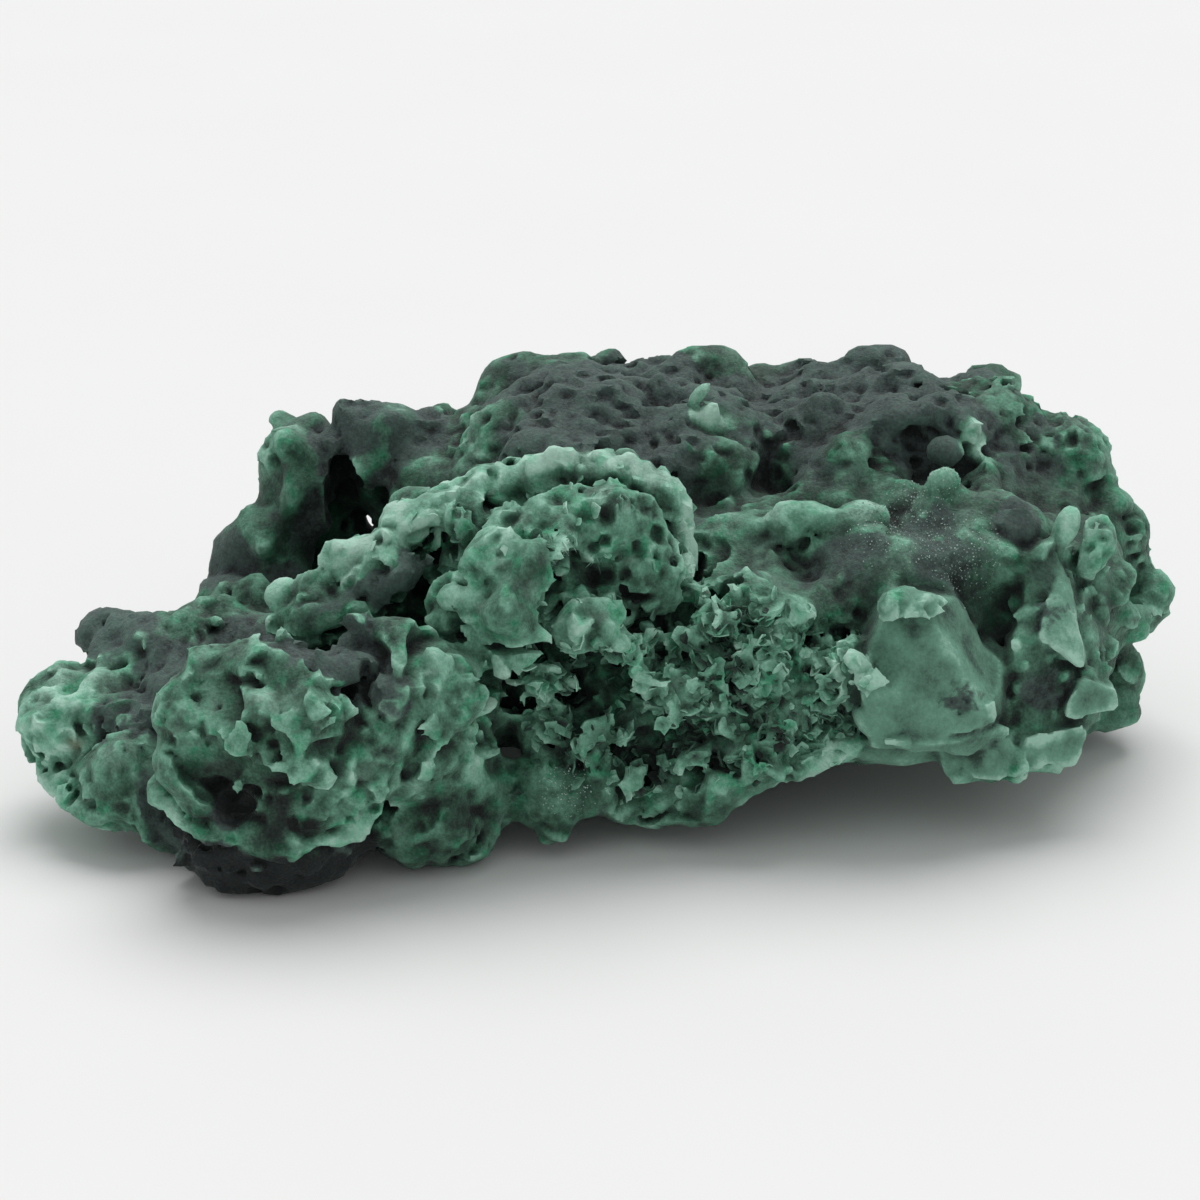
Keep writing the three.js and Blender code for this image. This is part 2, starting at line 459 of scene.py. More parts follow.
def along_path(path, spacing):
    """Places about `spacing` mm apart along a path of straight stretches."""
    path = np.array(path, float)
    lengths = np.linalg.norm(np.diff(path, axis=0), axis=1)
    travelled = np.concatenate([[0], np.cumsum(lengths)])
    stops = np.arange(0, travelled[-1] + 0.01, spacing)
    return np.stack([np.interp(stops, travelled, path[:, axis]) for axis in range(3)], axis=1)


# %% [markdown]
# First the crust everywhere, at random places. Leaves lean upwards, so that on the steep front their lower
# edges stand out and throw a shadow, as the real crust's scalloped edges do.

# %% Stamp the crust
UP = np.array([0, 0, 1.0])
LEVEL = np.zeros(3)
bare = plated * (froth < 0.5)
for centre, facing in surface_points(bare, 420):
    chip(centre, tilted(facing, LEVEL, 0.3), rng.uniform(1.8, 4.2), rng.uniform(0.1, 0.6))
for centre, facing in surface_points(np.maximum(bare * (1 - 0.6 * left_end), gravel), 330):
    crumb(centre - 0.6 * facing, rng.uniform(1.1, 2.6))
for centre, facing in surface_points(np.maximum(0.7 * ridge, 0.8 * pockets), 150):
    leaf(centre - 0.3 * facing, tilted(facing, 0.5 * UP, 0.22), rng.uniform(1.1, 2.6), 0.85)
for centre, facing in surface_points(bare * (ridge < 0.5) * (left_end < 0.5) * (front_lobe < 0.3), 25):
    leaf(centre - 0.4 * facing, tilted(facing, 0.45 * UP, 0.25), rng.uniform(1.2, 2.8), 0.9)
for centre, facing in surface_points(bare, 380):
    chip(centre, tilted(facing, LEVEL, 0.35), rng.uniform(1.0, 2.2), rng.uniform(0.1, 0.5))
for centre, facing in surface_points(froth, 260):
    leaf(centre - 0.2 * facing, tilted(facing, 0.3 * UP, 0.6), rng.uniform(0.8, 1.9), 0.75)
for centre, facing in surface_points(np.maximum(bowl, right_end), 26):
    egg(centre - 0.5 * facing, np.full(3, rng.uniform(0.9, 1.8)))

for centre, facing in surface_points(np.maximum(dome, far_crown), 420):
    size = rng.uniform(0.45, 0.75)
    pit(centre + 0.2 * facing, (1.6 * size, size, 0.8 * size))
for centre, facing in surface_points(gravel, 120):
    crumb(centre - 0.2 * facing, rng.uniform(0.6, 1.2))
pored = np.maximum.reduce([plated * (1 - 0.6 * left_end), 0.8 * grapes, gravel])
for centre, facing in surface_points(pored, 190):
    pit(centre, rng.uniform(0.45, 0.9, 3))
print("stamped at random: solid share", round(float((shape < 0).mean()), 3))

# %% [markdown]
# ## Landmarks
#
# Some things on this rock are too plain to leave to chance. Each is a growth, a hollow or a chip at its own
# place, in mm. Two more blocks go with them: `tint` makes the crust paler or darker, and in a few hollows
# holds painted shade, and the other is the share of charcoal velvet, which in the arch's pocket also holds
# painted shade.
#
# The growths come first. A row gives a growth's centre, its half sizes, its lean in degrees, how much paler
# it is, and how much more charcoal.

# %% Growths
def settled(place):
    """The nearest place on the surface as it is now."""
    cell = np.clip(((place - corner) / CELL).round().astype(int), 3, counts - 4)
    steps = 2 * np.eye(3, dtype=int)
    slope = np.array([smooth_shape[tuple(cell + step)] - smooth_shape[tuple(cell - step)] for step in steps])
    slope /= max(float(np.linalg.norm(slope)), 0.01)
    return place - float(shape[tuple(cell)]) * slope


tint = np.zeros_like(shape)
charcoal_and_shade = velvet.copy()
GROWTHS = [
    # the pale beads along the ridge's back edge, and the slabs that lead up to them
    ((-20.1, -10.8, 31.3), (2.6, 2.4, 2.4), 40, 0.28, -0.8),
    ((-17.2, -10.8, 33.6), (3.0, 2.6, 1.8), 20, 0.24, -0.8),
    ((-32.4, -11.6, 24.4), (1.9, 2.0, 1.7), 30, 0.26, -0.8),
    ((-29.2, -12.4, 25.6), (2.4, 2.2, 1.5), 30, 0.10, -0.6),
    ((-25.4, -11.8, 28.4), (3.4, 2.4, 1.7), 38, 0.18, -0.9),
    ((-22.6, -12.6, 30.0), (2.6, 2.2, 1.6), 40, 0.14, -0.9),
    # the ridge's back slope under them
    ((-29.0, -13.4, 23.0), (5.2, 3.6, 3.2), 30, 0.0, -0.3),
    ((-22.8, -12.8, 27.2), (4.4, 3.2, 3.2), 36, 0.0, -0.3),
    # the charcoal block above the ridge's black pocket
    ((-21.6, -14.6, 27.2), (4.2, 2.6, 2.0), 28, 0.0, 1.1),
    ((-27.4, -15.4, 23.8), (3.4, 2.4, 1.5), 25, 0.0, 0.8),
    # the pale cluster in the ridge's middle
    ((-11.4, -19.6, 31.2), (3.2, 2.6, 2.6), 60, 0.16, -0.5),
    ((-8.8, -20.4, 28.6), (2.6, 2.4, 3.0), 0, 0.14, -0.5),
    ((-12.8, -21.4, 27.4), (2.2, 1.8, 1.5), 20, 0.18, -0.5),
    ((-15.2, -20.6, 27.4), (1.6, 1.5, 1.4), 0, 0.06, -0.5),
    ((-14.7, -14.6, 32.9), (1.6, 1.6, 2.4), 15, -0.08, 0.0),
    # the front lobe's shoulder
    ((-33.2, -31.0, 20.0), (3.8, 2.8, 2.2), -12, 0.05, -0.5),
    ((-35.6, -31.6, 16.6), (2.6, 2.2, 2.4), 0, 0.02, -0.4),
    # the swirled nodule on the ridge's face
    ((-2.6, -20.0, 24.0), (2.9, 2.4, 2.7), 0, 0.12, -0.5),
    ((0.9, -19.8, 22.6), (1.6, 1.5, 1.0), -20, 0.16, -0.5),
    # beads of the bowl, and the dark one at its far end
    ((19.2, -3.4, 29.9), (3.0, 2.3, 1.6), 8, 0.17, -0.5),
    ((25.6, -3.4, 29.9), (2.9, 2.3, 1.6), 0, 0.17, -0.5),
    ((41.2, -5.0, 29.6), (2.1, 1.9, 1.9), 0, -0.02, 1.2),
    ((45.8, -5.4, 29.2), (1.3, 1.6, 2.3), -20, 0.22, -0.6),
    ((49.0, -4.8, 27.0), (1.9, 2.2, 3.4), -15, 0.12, -0.5),
    ((44.6, -5.4, 26.2), (1.2, 1.2, 1.4), 0, 0.16, -0.3),
    # the crumb on the dome and its streak
    ((10.4, 9.9, 36.3), (1.0, 1.0, 1.6), -15, 0.42, -1.0),
    ((9.4, 11, 38.3), (0.8, 1.0, 1.8), -40, 0.22, -0.8),
    # behind the thin end: two charcoal knobs and a smooth green one
    ((-52.0, 0.6, 15.6), (3.0, 2.8, 2.9), 0, 0.04, 1.2),
    ((-47.8, -2.4, 16.8), (3.2, 2.8, 2.4), -10, 0.04, 1.2),
    ((-42.4, -5.0, 17.4), (3.0, 2.6, 2.7), 0, 0.0, -0.6),
    # blocky slabs at the thin end's tip
    ((-56.2, -12.0, 11.4), (3.0, 4.0, 2.8), 0, 0.05, -0.5),
    ((-54.4, -7.5, 13.0), (3.2, 3.0, 2.2), -10, 0.12, -0.5),
    ((-50.6, -9.0, 13.4), (3.4, 3.0, 1.8), 0, 0.08, -0.4),
    # the swells of the deep end's outline
    ((48.6, 15.0, 30.8), (4.4, 5.0, 3.6), -30, 0.05, -0.3),
    ((54.4, 13.5, 21.6), (2.4, 4.0, 3.6), 0, 0.0, 0.2),
    ((57.0, 12.0, 15.8), (2.4, 3.2, 2.6), 0, 0.04, -0.3),
    ((54.0, 8.0, 9.6), (2.2, 3.0, 2.0), 0, 0.0, 0.0),
    # the charcoal ledge over the crown's black slot, and the knob at its right
    ((31.2, 9.8, 36.4), (4.6, 2.0, 1.2), 0, 0.0, 1.0),
    ((34.6, 6.2, 33.6), (1.9, 1.8, 1.6), 0, 0.0, 1.1),
    # lower slabs of the thin end
    ((-54.8, -11.6, 9.8), (3.6, 4.6, 3.6), 0, 0.10, -0.4),
    ((-53.4, -13.6, 5.8), (4.0, 4.2, 2.6), -10, 0.10, -0.4),
    ((-47.5, -13.4, 12.2), (5.0, 4.2, 2.4), 5, 0.0, 0.2),
    ((-50.6, -17.6, 4.8), (4.4, 4.0, 2.6), -25, 0.06, -0.4),
    # the arch: charcoal on its crown, mint on its left knob
    ((-25.0, 20.5, 31.6), (4.6, 3.6, 3.2), -15, 0.0, 1.2),
    ((-28.8, 19.2, 29.4), (3.2, 2.8, 2.4), 20, 0.0, 1.2),
    ((-34.4, 19.6, 28.6), (2.8, 2.8, 2.8), 0, 0.16, -0.8),
    ((-33.4, 20.4, 31.0), (1.2, 1.2, 1.1), 0, 0.20, -0.8),
    # the front lobe's smooth left shoulder, and its belly
    ((-39.0, -27.4, 17.6), (5.0, 4.2, 4.4), 0, 0.02, -0.3),
    ((-26.0, -28.6, 14.6), (6.0, 3.6, 5.0), 0, 0.0, -0.3),
    ((-28.6, -29.2, 10.2), (6.6, 3.7, 3.8), 5, 0.0, -0.3),
    ((-38.6, -28.6, 11.0), (3.4, 3.4, 3.8), -25, 0.0, -0.3),
    # the ridge's broad face
    ((-1.0, -12.6, 32.4), (6.4, 3.6, 4.2), -10, 0.03, -0.3),
    ((3.2, -13.0, 27.6), (4.2, 3.4, 4.6), 0, 0.0, -0.3),
    ((-6.0, -14.6, 32.0), (4.4, 3.2, 3.2), 15, 0.03, -0.3),
    # the charcoal slab on the front lobe, the pale ledges on its right side, and a bead under it
    ((-27.4, -27.4, 22.6), (5.2, 2.8, 1.6), 6, 0.0, 0.9),
    ((-20.8, -29.4, 20.6), (2.2, 2.0, 2.2), 0, 0.02, 0.6),
    ((-16.6, -26.8, 22.6), (1.4, 1.6, 2.0), 20, 0.24, -0.6),
    ((-13.2, -23.4, 17.0), (2.4, 2.0, 0.9), 8, 0.20, -0.6),
    ((-34.2, -32.2, 7.9), (2.2, 1.4, 1.0), 10, 0.30, -0.8),
    # the dark lobe under the front lobe, and the charcoal foot
    ((-18.8, -24.4, 5.4), (5.5, 3.6, 3.6), 0, -0.08, -0.6),
    ((-34.0, -27.2, 3.9), (8.4, 5.2, 4.1), 0, 0.0, 1.1),
    # the boss with one clean pore, and the tooth under the froth
    ((-2.6, -18.0, 9.6), (2.6, 2.4, 2.6), 0, 0.06, -0.5),
    ((10.7, -20.6, 7.6), (1.5, 1.8, 1.5), 0, 0.10, -0.3),
    # the left-hand break's rounded top, and the mint ledge beside it
    ((29.8, -17.6, 25.0), (3.6, 2.4, 2.2), -15, 0.0, 0.3),
    ((26.6, -20.6, 18.8), (2.4, 1.8, 2.0), -15, 0.18, -0.6),
    ((24.0, -20.2, 20.8), (1.8, 1.2, 0.9), -35, 0.26, -0.6),
    # the crust between the ridge's black pocket and its pale cluster
    ((-15.6, -17.8, 25.4), (2.6, 2.6, 3.0), 0, 0.0, -0.4),
    ((-12.0, -19.6, 21.6), (4.0, 2.6, 1.8), 0, 0.04, -0.4),
]
SMALL_GROWTH = 1.8  # mm, the half size below which a growth stays smooth
for place, radii, lean, paler, charcoal in GROWTHS:
    egg(place, radii, lean, 0.5 * min(radii), lumpy=0.4 if min(radii) < SMALL_GROWTH else 0.8)
    if paler:
        paint(tint, place, 1.15 * max(radii), paler)
    if charcoal:
        paint(charcoal_and_shade, place, 1.1 * max(radii), charcoal)
print(len(GROWTHS), "growths")

# %% [markdown]
# The ridge ends in a crest with a ragged, pale lip, which runs over its top and down its right side. A wall
# of small growths is built behind it, crumbs roughen that, and leaves across it make the lip. A thin rib
# runs down the front lobe's right side, and the lobe's own crust overhangs the charcoal foot.

# %% Crest, rib and overhang
CREST = [
    (-14.8, -9, 35.6), (-10, -9, 36.8), (-6.7, -9, 38.5), (-3.5, -9, 38.2), (-0.5, -9, 38.2), (3, -9, 38),
    (5.1, -9, 36.3), (6.9, -9, 35.3), (8.3, -9, 33.2), (8.6, -9, 31.2), (7.9, -9.4, 29.6), (8.8, -10, 27.7),
    (8, -11, 24.8),
]
RIDGE_HEART = np.array([-3, -6, 29])
CREST_FACING = np.array([0.25, -0.88, 0.4])
for place in along_path(CREST, 0.9):
    inward = (RIDGE_HEART - place) / np.linalg.norm(RIDGE_HEART - place)
    egg(place + 4.2 * inward + np.array([0, 2.4, 0]), (2.6, 2.4, 2.6))
    crumb(place + 1.8 * inward, rng.uniform(1.2, 1.9))
    width = rng.uniform(1.5, 2.6)
    leaf(place + 1.05 * width * inward, tilted(CREST_FACING, LEVEL, 0.2), width, 1.2, 0.7)
    paint(tint, place, 1.7, 0.12)

RIB = [
    (-13.2, -25.0, 20.7), (-17.4, -27.5, 19.7), (-19.1, -29.0, 17.7), (-20.4, -29.5, 14.7),
    (-20.9, -29.5, 11.5),
]
for place in along_path(RIB, 0.6):
    place = settled(place)
    egg(place, np.full(3, rng.uniform(0.5, 0.65)), blend=1.0)
    paint(tint, place, 0.9, 0.16)
    paint(charcoal_and_shade, place, 0.9, -0.4)

OVERHANG = [
    (-45.1, -27.0, 10.4), (-40.7, -30.0, 7.6), (-35.8, -32.0, 6.9), (-30.7, -32.0, 6.2), (-25.1, -31.0, 7.0),
    (-23.0, -30.0, 8.4),
]
OVERHANG_FACING = np.array([0, -0.5, 0.85])
for place in along_path(OVERHANG, 0.9):
    place = settled(place)
    leaf(place, tilted(OVERHANG_FACING, LEVEL, 0.15), rng.uniform(0.8, 1.3), 1.0, 0.6)
    paint(tint, place, 1.3, 0.14)
    paint(charcoal_and_shade, place, 1.3, -0.5)

# %% [markdown]
# The ridge's face is a lattice: crumbs of crust with pores between them. The froth's lower edge is a smooth,
# pale lip.

# %% Lattice and lip
for centre, facing in surface_points(ridge, 110):
    crumb(centre - 0.5 * facing, rng.uniform(0.8, 1.9))
for centre, facing in surface_points(ridge, 90):
    pit(centre, rng.uniform(0.4, 0.85, 3))

GLASSY_LIP = [
    (1.6, -18, 4.6), (6, -18.5, 5.2), (11, -18.5, 6.4), (16, -18, 8), (20, -17.5, 9.2), (24.4, -17, 10.6),
]
for place in along_path(GLASSY_LIP, 1.3):
    egg(place, (1.6, 1.7, rng.uniform(0.9, 1.3)), 18)
    paint(tint, place, 2.0, 0.15)
print("after the lips: solid share", round(float((shape < 0).mean()), 3))

# %% [markdown]
# Hollows are cut where they are given, even through thin crust: that opens the pocket under the arch. Pores
# are small, so each is first moved onto the surface, and its mouth is painted a little darker, as painted
# shade.

# %% Hollows and pores
HOLLOWS = [
    # under the ridge's beads, beside the front lobe's slab, and under the pale cluster
    ((-20.2, -15.6, 23.8), (2.5, 4.4, 2.3)),
    ((-26.4, -16.6, 21.8), (2.2, 3.2, 1.0)),
    ((-23.4, -30.0, 22.4), (0.7, 2.6, 2.2)),
    ((-8.5, -22.6, 23.2), (3.0, 1.8, 0.6)),
    # the front lobe's dark hollow
    ((-37.4, -31.8, 11.6), (2.0, 3.0, 1.5)),
    ((-35.8, -31.6, 10.4), (2.0, 3.0, 1.3)),
    ((-34.6, -31.8, 11.6), (1.3, 2.4, 0.9)),
    # the arch's pocket
    ((-27.9, 17.0, 25.6), (2.3, 5.2, 4.6)),
    ((-23.6, 17.6, 24.6), (2.1, 3.6, 3.4)),
    ((-20.6, 16.4, 24.6), (2.0, 3.6, 2.4)),
    # at the bowl's back, and the crown's black slot
    ((10.4, 1.0, 29.4), (3.0, 2.0, 0.9)),
    ((31.4, 7.6, 34.2), (1.4, 2.6, 1.7)),
    # beside the arch, where its outline is plain
    ((-37.3, 15.0, 27.8), (1.3, 4.5, 1.7)),
    ((-38.2, 22.5, 24.9), (1.7, 5.5, 1.9)),
]
for place, radii in HOLLOWS:
    pit(np.array(place), radii)

PORES = [
    # in the ridge's face
    ((-0.5, -16.0, 34.1), (1.3, 1.7, 1.2)),
    ((-10.0, -17.0, 34.6), (1.5, 1.6, 0.8)),
    ((-14.3, -14.0, 33.8), (0.9, 1.2, 0.7)),
    ((3.2, -17.0, 25.8), (2.2, 2.0, 0.6)),
    ((4.6, -14.0, 31.4), (0.9, 1.4, 0.9)),
    ((-5.6, -17.0, 31.8), (0.8, 1.4, 0.7)),
    ((1.6, -16.4, 29.4), (1.0, 1.4, 0.8)),
    # in the swirled nodule, and in the boss under it
    ((-1.2, -22.0, 24.6), (0.6, 1.0, 0.6)),
    ((-2.6, -20.8, 9.8), (0.7, 1.6, 0.7)),
    # in the thin end
    ((-57.0, -13.2, 7.4), (0.7, 1.0, 0.6)),
    ((-55.6, -14.4, 6.4), (0.7, 1.0, 0.7)),
    ((-56.2, -14.0, 9.0), (0.6, 1.0, 0.6)),
    ((-54.4, -15.2, 7.6), (0.8, 1.0, 0.6)),
    ((-53.4, -15.6, 5.6), (0.9, 1.0, 0.7)),
]
for place, radii in PORES:
    pit(settled(np.array(place)), radii)
    # painted shade at the pore's mouth
    paint(tint, place, 1.5 * max(radii), -0.06)
print(len(HOLLOWS), "hollows and", len(PORES), "pores")

# %% [markdown]
# Some crumbs sit at places of their own too, each with its half size and how much paler it is. Then come
# the flat chips: a place, the way the flat faces, how wide it is, and how deep it cuts.

# %% Crumbs and chips
CRUMBS = [
    # on the front lobe's right side
    ((-13.5, -24.4, 11.2), 1.6, 0.26),
    ((-18.6, -27.6, 10.6), 1.6, 0.26),
    ((-11.6, -23.6, 14.0), 1.4, 0.14),
    # between the beads along the ridge's back edge
    ((-18.4, -11.8, 33.2), 2.2, 0.0),
    ((-21.4, -11.8, 31.0), 2.2, 0.0),
    ((-26.0, -12.6, 28.6), 2.0, 0.0),
    ((-29.8, -13.2, 26.0), 1.8, 0.0),
    # on the pale cluster
    ((-12.6, -20.6, 30.2), 2.2, 0.04),
    ((-9.2, -21.0, 29.6), 2.4, 0.04),
    ((-12.8, -21.6, 26.4), 2.0, 0.04),
    ((-9.4, -21.4, 26.2), 1.8, 0.04),
]
for place, reach, paler in CRUMBS:
    crumb(np.array(place), reach)
    paint(tint, place, 1.2 * reach, paler)

CHIPS = [
    # two facets that meet in an edge on the front lobe's shoulder
    ((-38.6, -31.6, 20.0), (-0.1, -0.6, 0.8), 4.0, 0.4),
    ((-38.4, -32.0, 15.2), (-0.2, -0.9, -0.3), 3.6, 0.4),
    # the facets of the left-hand break
    ((30.0, -21.8, 14.8), (-0.15, -0.97, -0.08), 5.5, 0.4),
    ((35.0, -21.0, 19.5), (0.3, -0.9, 0.3), 6.5, 0.5),
    ((29.4, -20.4, 21.4), (-0.3, -0.85, 0.35), 4.0, 0.4),
    ((36.4, -17.6, 21.0), (0.78, -0.4, 0.48), 5.5, 0.9),
    ((37.6, -19.4, 13.6), (0.5, -0.6, -0.6), 3.0, 0.4),
]
for place, normal, radius, depth in CHIPS:
    chip(settled(np.array(place)), normal, radius, depth)
print(len(CRUMBS), "crumbs and", len(CHIPS), "chips")

# %% [markdown]
# A broken block is the hull of its corners, so its faces are flat and its edges are straight. The breaks at
# the deep end each have a few. One more, on the front lobe, is the bright plate at its top: that one is
# crust, not a fresh break, so the paint after it takes the mark of a break away again.

# %% Broken blocks
BLOCKS = [
    # the right-hand break: a tall facet, and a block under it
    [(44.9, -8.6, 26.4), (42.4, -13.6, 20.1), (45.2, -14.4, 19.0), (47.6, -13.9, 17.0), (46.6, -10.6, 22.6),
     (45.6, -8, 25.8), (44, -6, 20), (48, -8, 16)],
    [(47.0, -14.2, 17.0), (50.9, -13.2, 15.2), (51.3, -13.2, 12.8), (45.6, -14.8, 12.9), (45.8, -14.9, 14.2),
     (46, -8, 12), (50, -8, 13)],
    # a slab under the left-hand break
    [(27.4, -20.4, 12.2), (33, -20.2, 11.8), (39.4, -17.8, 12.8), (40.2, -16.8, 11.6), (36, -17.6, 9.6),
     (30, -19.2, 10.6), (36, -10, 12), (30, -10, 12)],
    # the base block, in two
    [(35.2, -16, 6.8), (39, -17.2, 7), (40.6, -16.6, 8), (40, -16.6, 11.2), (36.4, -17, 10.8), (38, -8, 8),
     (40, -8, 10)],
    [(41.2, -16.4, 7.4), (46.4, -15.2, 7.6), (47.6, -13.8, 10.8), (44, -15.6, 11.4), (41.4, -16.4, 11),
     (42, -8, 8), (47, -8, 9)],
]
BRIGHT_PLATE = [
    (-30.9, -32.4, 22.1), (-28.8, -32.2, 22.7), (-26.5, -32.9, 20.6), (-27.9, -33.5, 18.8),
    (-30.5, -33.3, 19.9), (-31.2, -33.4, 18.4), (-29, -29, 21), (-29, -29, 19),
]
for corners in BLOCKS + [BRIGHT_PLATE]:
    block_of(corners)
paint(fresh, (-28.8, -32, 20.6), 4, -1.5)
print(len(BLOCKS), "blocks and a plate")

# %% [markdown]
# The left-hand break is split along its foot, and the split is painted a little darker, as painted shade.
# The break carries a dark stain of tiny pits. Where its faces meet, the edge is bruised, and paler.

# %% Split, stain and edges
GROOVE = [(27.4, -21.6, 12.9), (32, -21.4, 12.3), (38.6, -18.2, 13.0)]
for place in along_path(GROOVE, 0.5):
    pit(place, (0.5, 0.8, 0.45))
    # painted shade along the split
    paint(tint, place, 0.9, -0.05)

STAIN = np.array([34.6, -19.6, 16.5])
STAIN_SPREAD = np.array([1.3, 0.3, 1.3])
for spot in range(16):
    place = STAIN + STAIN_SPREAD * rng.standard_normal(3)
    pit(settled(place), np.full(3, rng.uniform(0.3, 0.5)))
paint(charcoal_and_shade, (34.6, -20.2, 16.5), 1.8, 0.6)

EDGES = [
    [(30.5, -18, 26.5), (33.6, -19, 21.5), (39.3, -18.6, 12.9)],
    [(39.3, -18.6, 12.9), (33, -20.6, 11.9), (27.2, -21.2, 12)],
    [(44.5, -10, 23.5), (47.6, -11.6, 19), (51.6, -11.4, 14.6), (48.6, -13.2, 12)],
    [(35, -16.4, 7), (41, -16, 6.6), (47, -14.6, 8), (48.6, -13.4, 11)],
]
for edge in EDGES:
    for place in along_path(edge, 0.8):
        paint(tint, place, 0.9, rng.uniform(0.05, 0.14))
print(len(EDGES), "bruised edges")

# %% [markdown]
# Last come soft patches without any shape: where the charcoal is worn through to green or spreads over it,
# and where the green is paler or darker than its zone. A few dark ones are painted shade: in the pocket under
# the ridge's beads, in the arch's pocket, around the front lobe's dark hollow, and over the charcoal foot
# where it sits in shade under the front lobe. Each has a place, a reach, and an amount to add.

# %% Patches
CHARCOAL_AND_SHADE = [
    ((-15.5, 14, 33), 6.0, -0.9), ((-20.5, 18, 31), 4.0, 0.8), ((-6, 27, 38), 6.0, -0.8),
    ((12, 28, 39), 6.5, -0.8), ((30, 4, 33), 7.0, -0.6), ((42, 16, 38), 6.5, -0.7),
    ((14, 6, 32), 5.5, -0.6), ((31, -4, 31), 3.6, 0.5), ((24, -8, 26), 4.5, 0.5), ((34, -10, 27), 3.6, 0.5),
    ((45, -9.5, 23), 3.2, 0.35), ((29.2, -18, 26), 4.0, -0.9), ((43.4, -14, 15.2), 2.6, 0.6),
    ((-29, -32, 9.5), 5.0, -0.9), ((-14, 24, 34), 6.0, -0.9), ((12, -9, 26), 3.0, 0.4),
    ((-40.6, 15, 18), 4.5, 0.8), ((-35, 12, 14), 5.5, 0.6), ((-8.6, -13, 30), 2.6, 0.6),
    ((5, -12, 31.5), 2.4, 0.6), ((-28.8, -33, 21.5), 2.9, -1.4), ((-22.4, 19.2, 33.6), 1.8, -1.2),
    ((37.5, 6.4, 34.6), 2.0, -1.0), ((0, -15, 30.5), 3.6, 0.35), ((-42, -14, 12), 4.0, 0.4),
    ((-51, -15, 11.5), 3.4, 0.5), ((-42, -24, 7), 4.0, 0.8), ((-15, 13, 35), 5.0, -0.7),
    # painted shade: the last patch darkens the arch's pocket with charcoal
    ((-27.5, 16, 24), 6.0, 0.5),
]
TONES = [
    ((42, -12, 21), 3.0, -0.04), ((-29, -32, 8.5), 6.0, 0.09), ((-9, -20, 26), 5.0, 0.04),
    ((46, -11, 21), 5.0, 0.07), ((31, -4, 29), 8.0, 0.05), ((-34, 19, 29), 3.5, 0.08),
    ((38, -17, 9), 2.2, -0.12), ((45.6, -15, 9.6), 1.8, -0.12), ((-5.6, -9.6, 36), 2.0, 0.16),
    ((-28.8, -33, 20.8), 2.6, 0.2), ((-22.4, 19.2, 33.6), 1.6, 0.5), ((37.5, 6.4, 34.6), 1.8, 0.4),
    ((-56, -13, 13), 3.2, 0.1), ((-55.4, -14, 7.5), 4.0, 0.05), ((-52, -19, 5), 4.0, 0.08),
    ((19, -18, 22.5), 4.0, 0.12), ((12, -18, 17), 6.0, -0.06), ((2, -18, 15), 6.5, 0.03),
    ((14, -17, 11.5), 5.0, -0.08), ((8, -16, 18), 4.5, -0.03), ((3, -13, 25.6), 3.5, -0.08),
    # painted shade on the next line: the pocket under the ridge's beads, and the charcoal foot under the front
    # lobe
    ((-21, -11.6, 23.4), 3.4, -0.3), ((-33, -26, 2.5), 9.0, -0.8), ((-10, -20, 22), 6.0, 0.06),
    ((14, -4, 28.5), 6.0, 0.1), ((-17, 13, 33), 6.0, 0.08), ((8, -2, 29), 4.0, 0.05),
    ((44, -12.6, 14.8), 2.2, -0.12), ((-29, -31, 8), 5.0, 0.1), ((-21, -29, 7.5), 4.5, 0.08),
    ((-16, 13, 34), 5.0, 0.07), ((-27, -11, 26), 5.0, 0.06), ((-47, -3, 17), 4.0, 0.06),
    # painted shade: the first patch below darkens the arch's pocket, and the last one the front lobe's dark
    # hollow
    ((-27.5, 16, 24), 6.0, -0.3), ((-17, -27, 8), 4.0, -0.06), ((42, -15, 9), 5.0, 0.08),
    ((-34, -32, 10.5), 4.0, -0.16),
]
for block, patches in ((charcoal_and_shade, CHARCOAL_AND_SHADE), (tint, TONES)):
    for place, reach, amount in patches:
        paint(block, place, reach, amount)
charcoal_and_shade = np.clip(charcoal_and_shade, 0, 1)
fresh = np.clip(fresh, 0, 1)

# %% [markdown]
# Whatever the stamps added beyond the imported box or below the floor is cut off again.

# %% Trim
CLEARANCE = 0.05  # mm
beyond = np.maximum(CLEARANCE - room, -z)
shape = np.maximum(shape, beyond)
print("charcoal on", round(float(charcoal_and_shade[np.abs(shape) < CELL].mean()), 2), "of the finished surface")

# %% [markdown]
# ## Back to a mesh
#
# OpenVDB lays one skin of four-sided faces through the cells where the distance changes sign. Froth seals
# some bubbles, and a stamp can leave a crumb in the air, so only the largest piece of the skin is kept: each
# corner takes the lowest label among its neighbours until nothing changes.

# %% Skin the block
def skin(block):
    """The block's surface as corners in mm and four-sided faces."""
    grid = vdb.FloatGrid(3.0)
    grid.copyFromArray(block)
    grid.transform = vdb.createLinearTransform(voxelSize=CELL)
    points, quads = grid.convertToQuads(isovalue=0.0)
    return points + corner, quads


def largest_skin(points, quads):
    """The faces of the piece with the most corners: sealed bubbles and loose crumbs are left out."""
    label = np.arange(len(points))
    ends = np.concatenate([quads[:, [0, 1]], quads[:, [1, 2]], quads[:, [2, 3]], quads[:, [3, 0]]])
    while True:
        lowest = np.minimum(label[ends[:, 0]], label[ends[:, 1]])
        before = label.copy()
        np.minimum.at(label, ends[:, 0], lowest)
        np.minimum.at(label, ends[:, 1], lowest)
        label = label[label]
        if (label == before).all():
            break
    main = np.bincount(label).argmax()
    kept = label == main
    place = np.cumsum(kept) - 1
    return points[kept], place[quads[kept[quads[:, 0]]]]


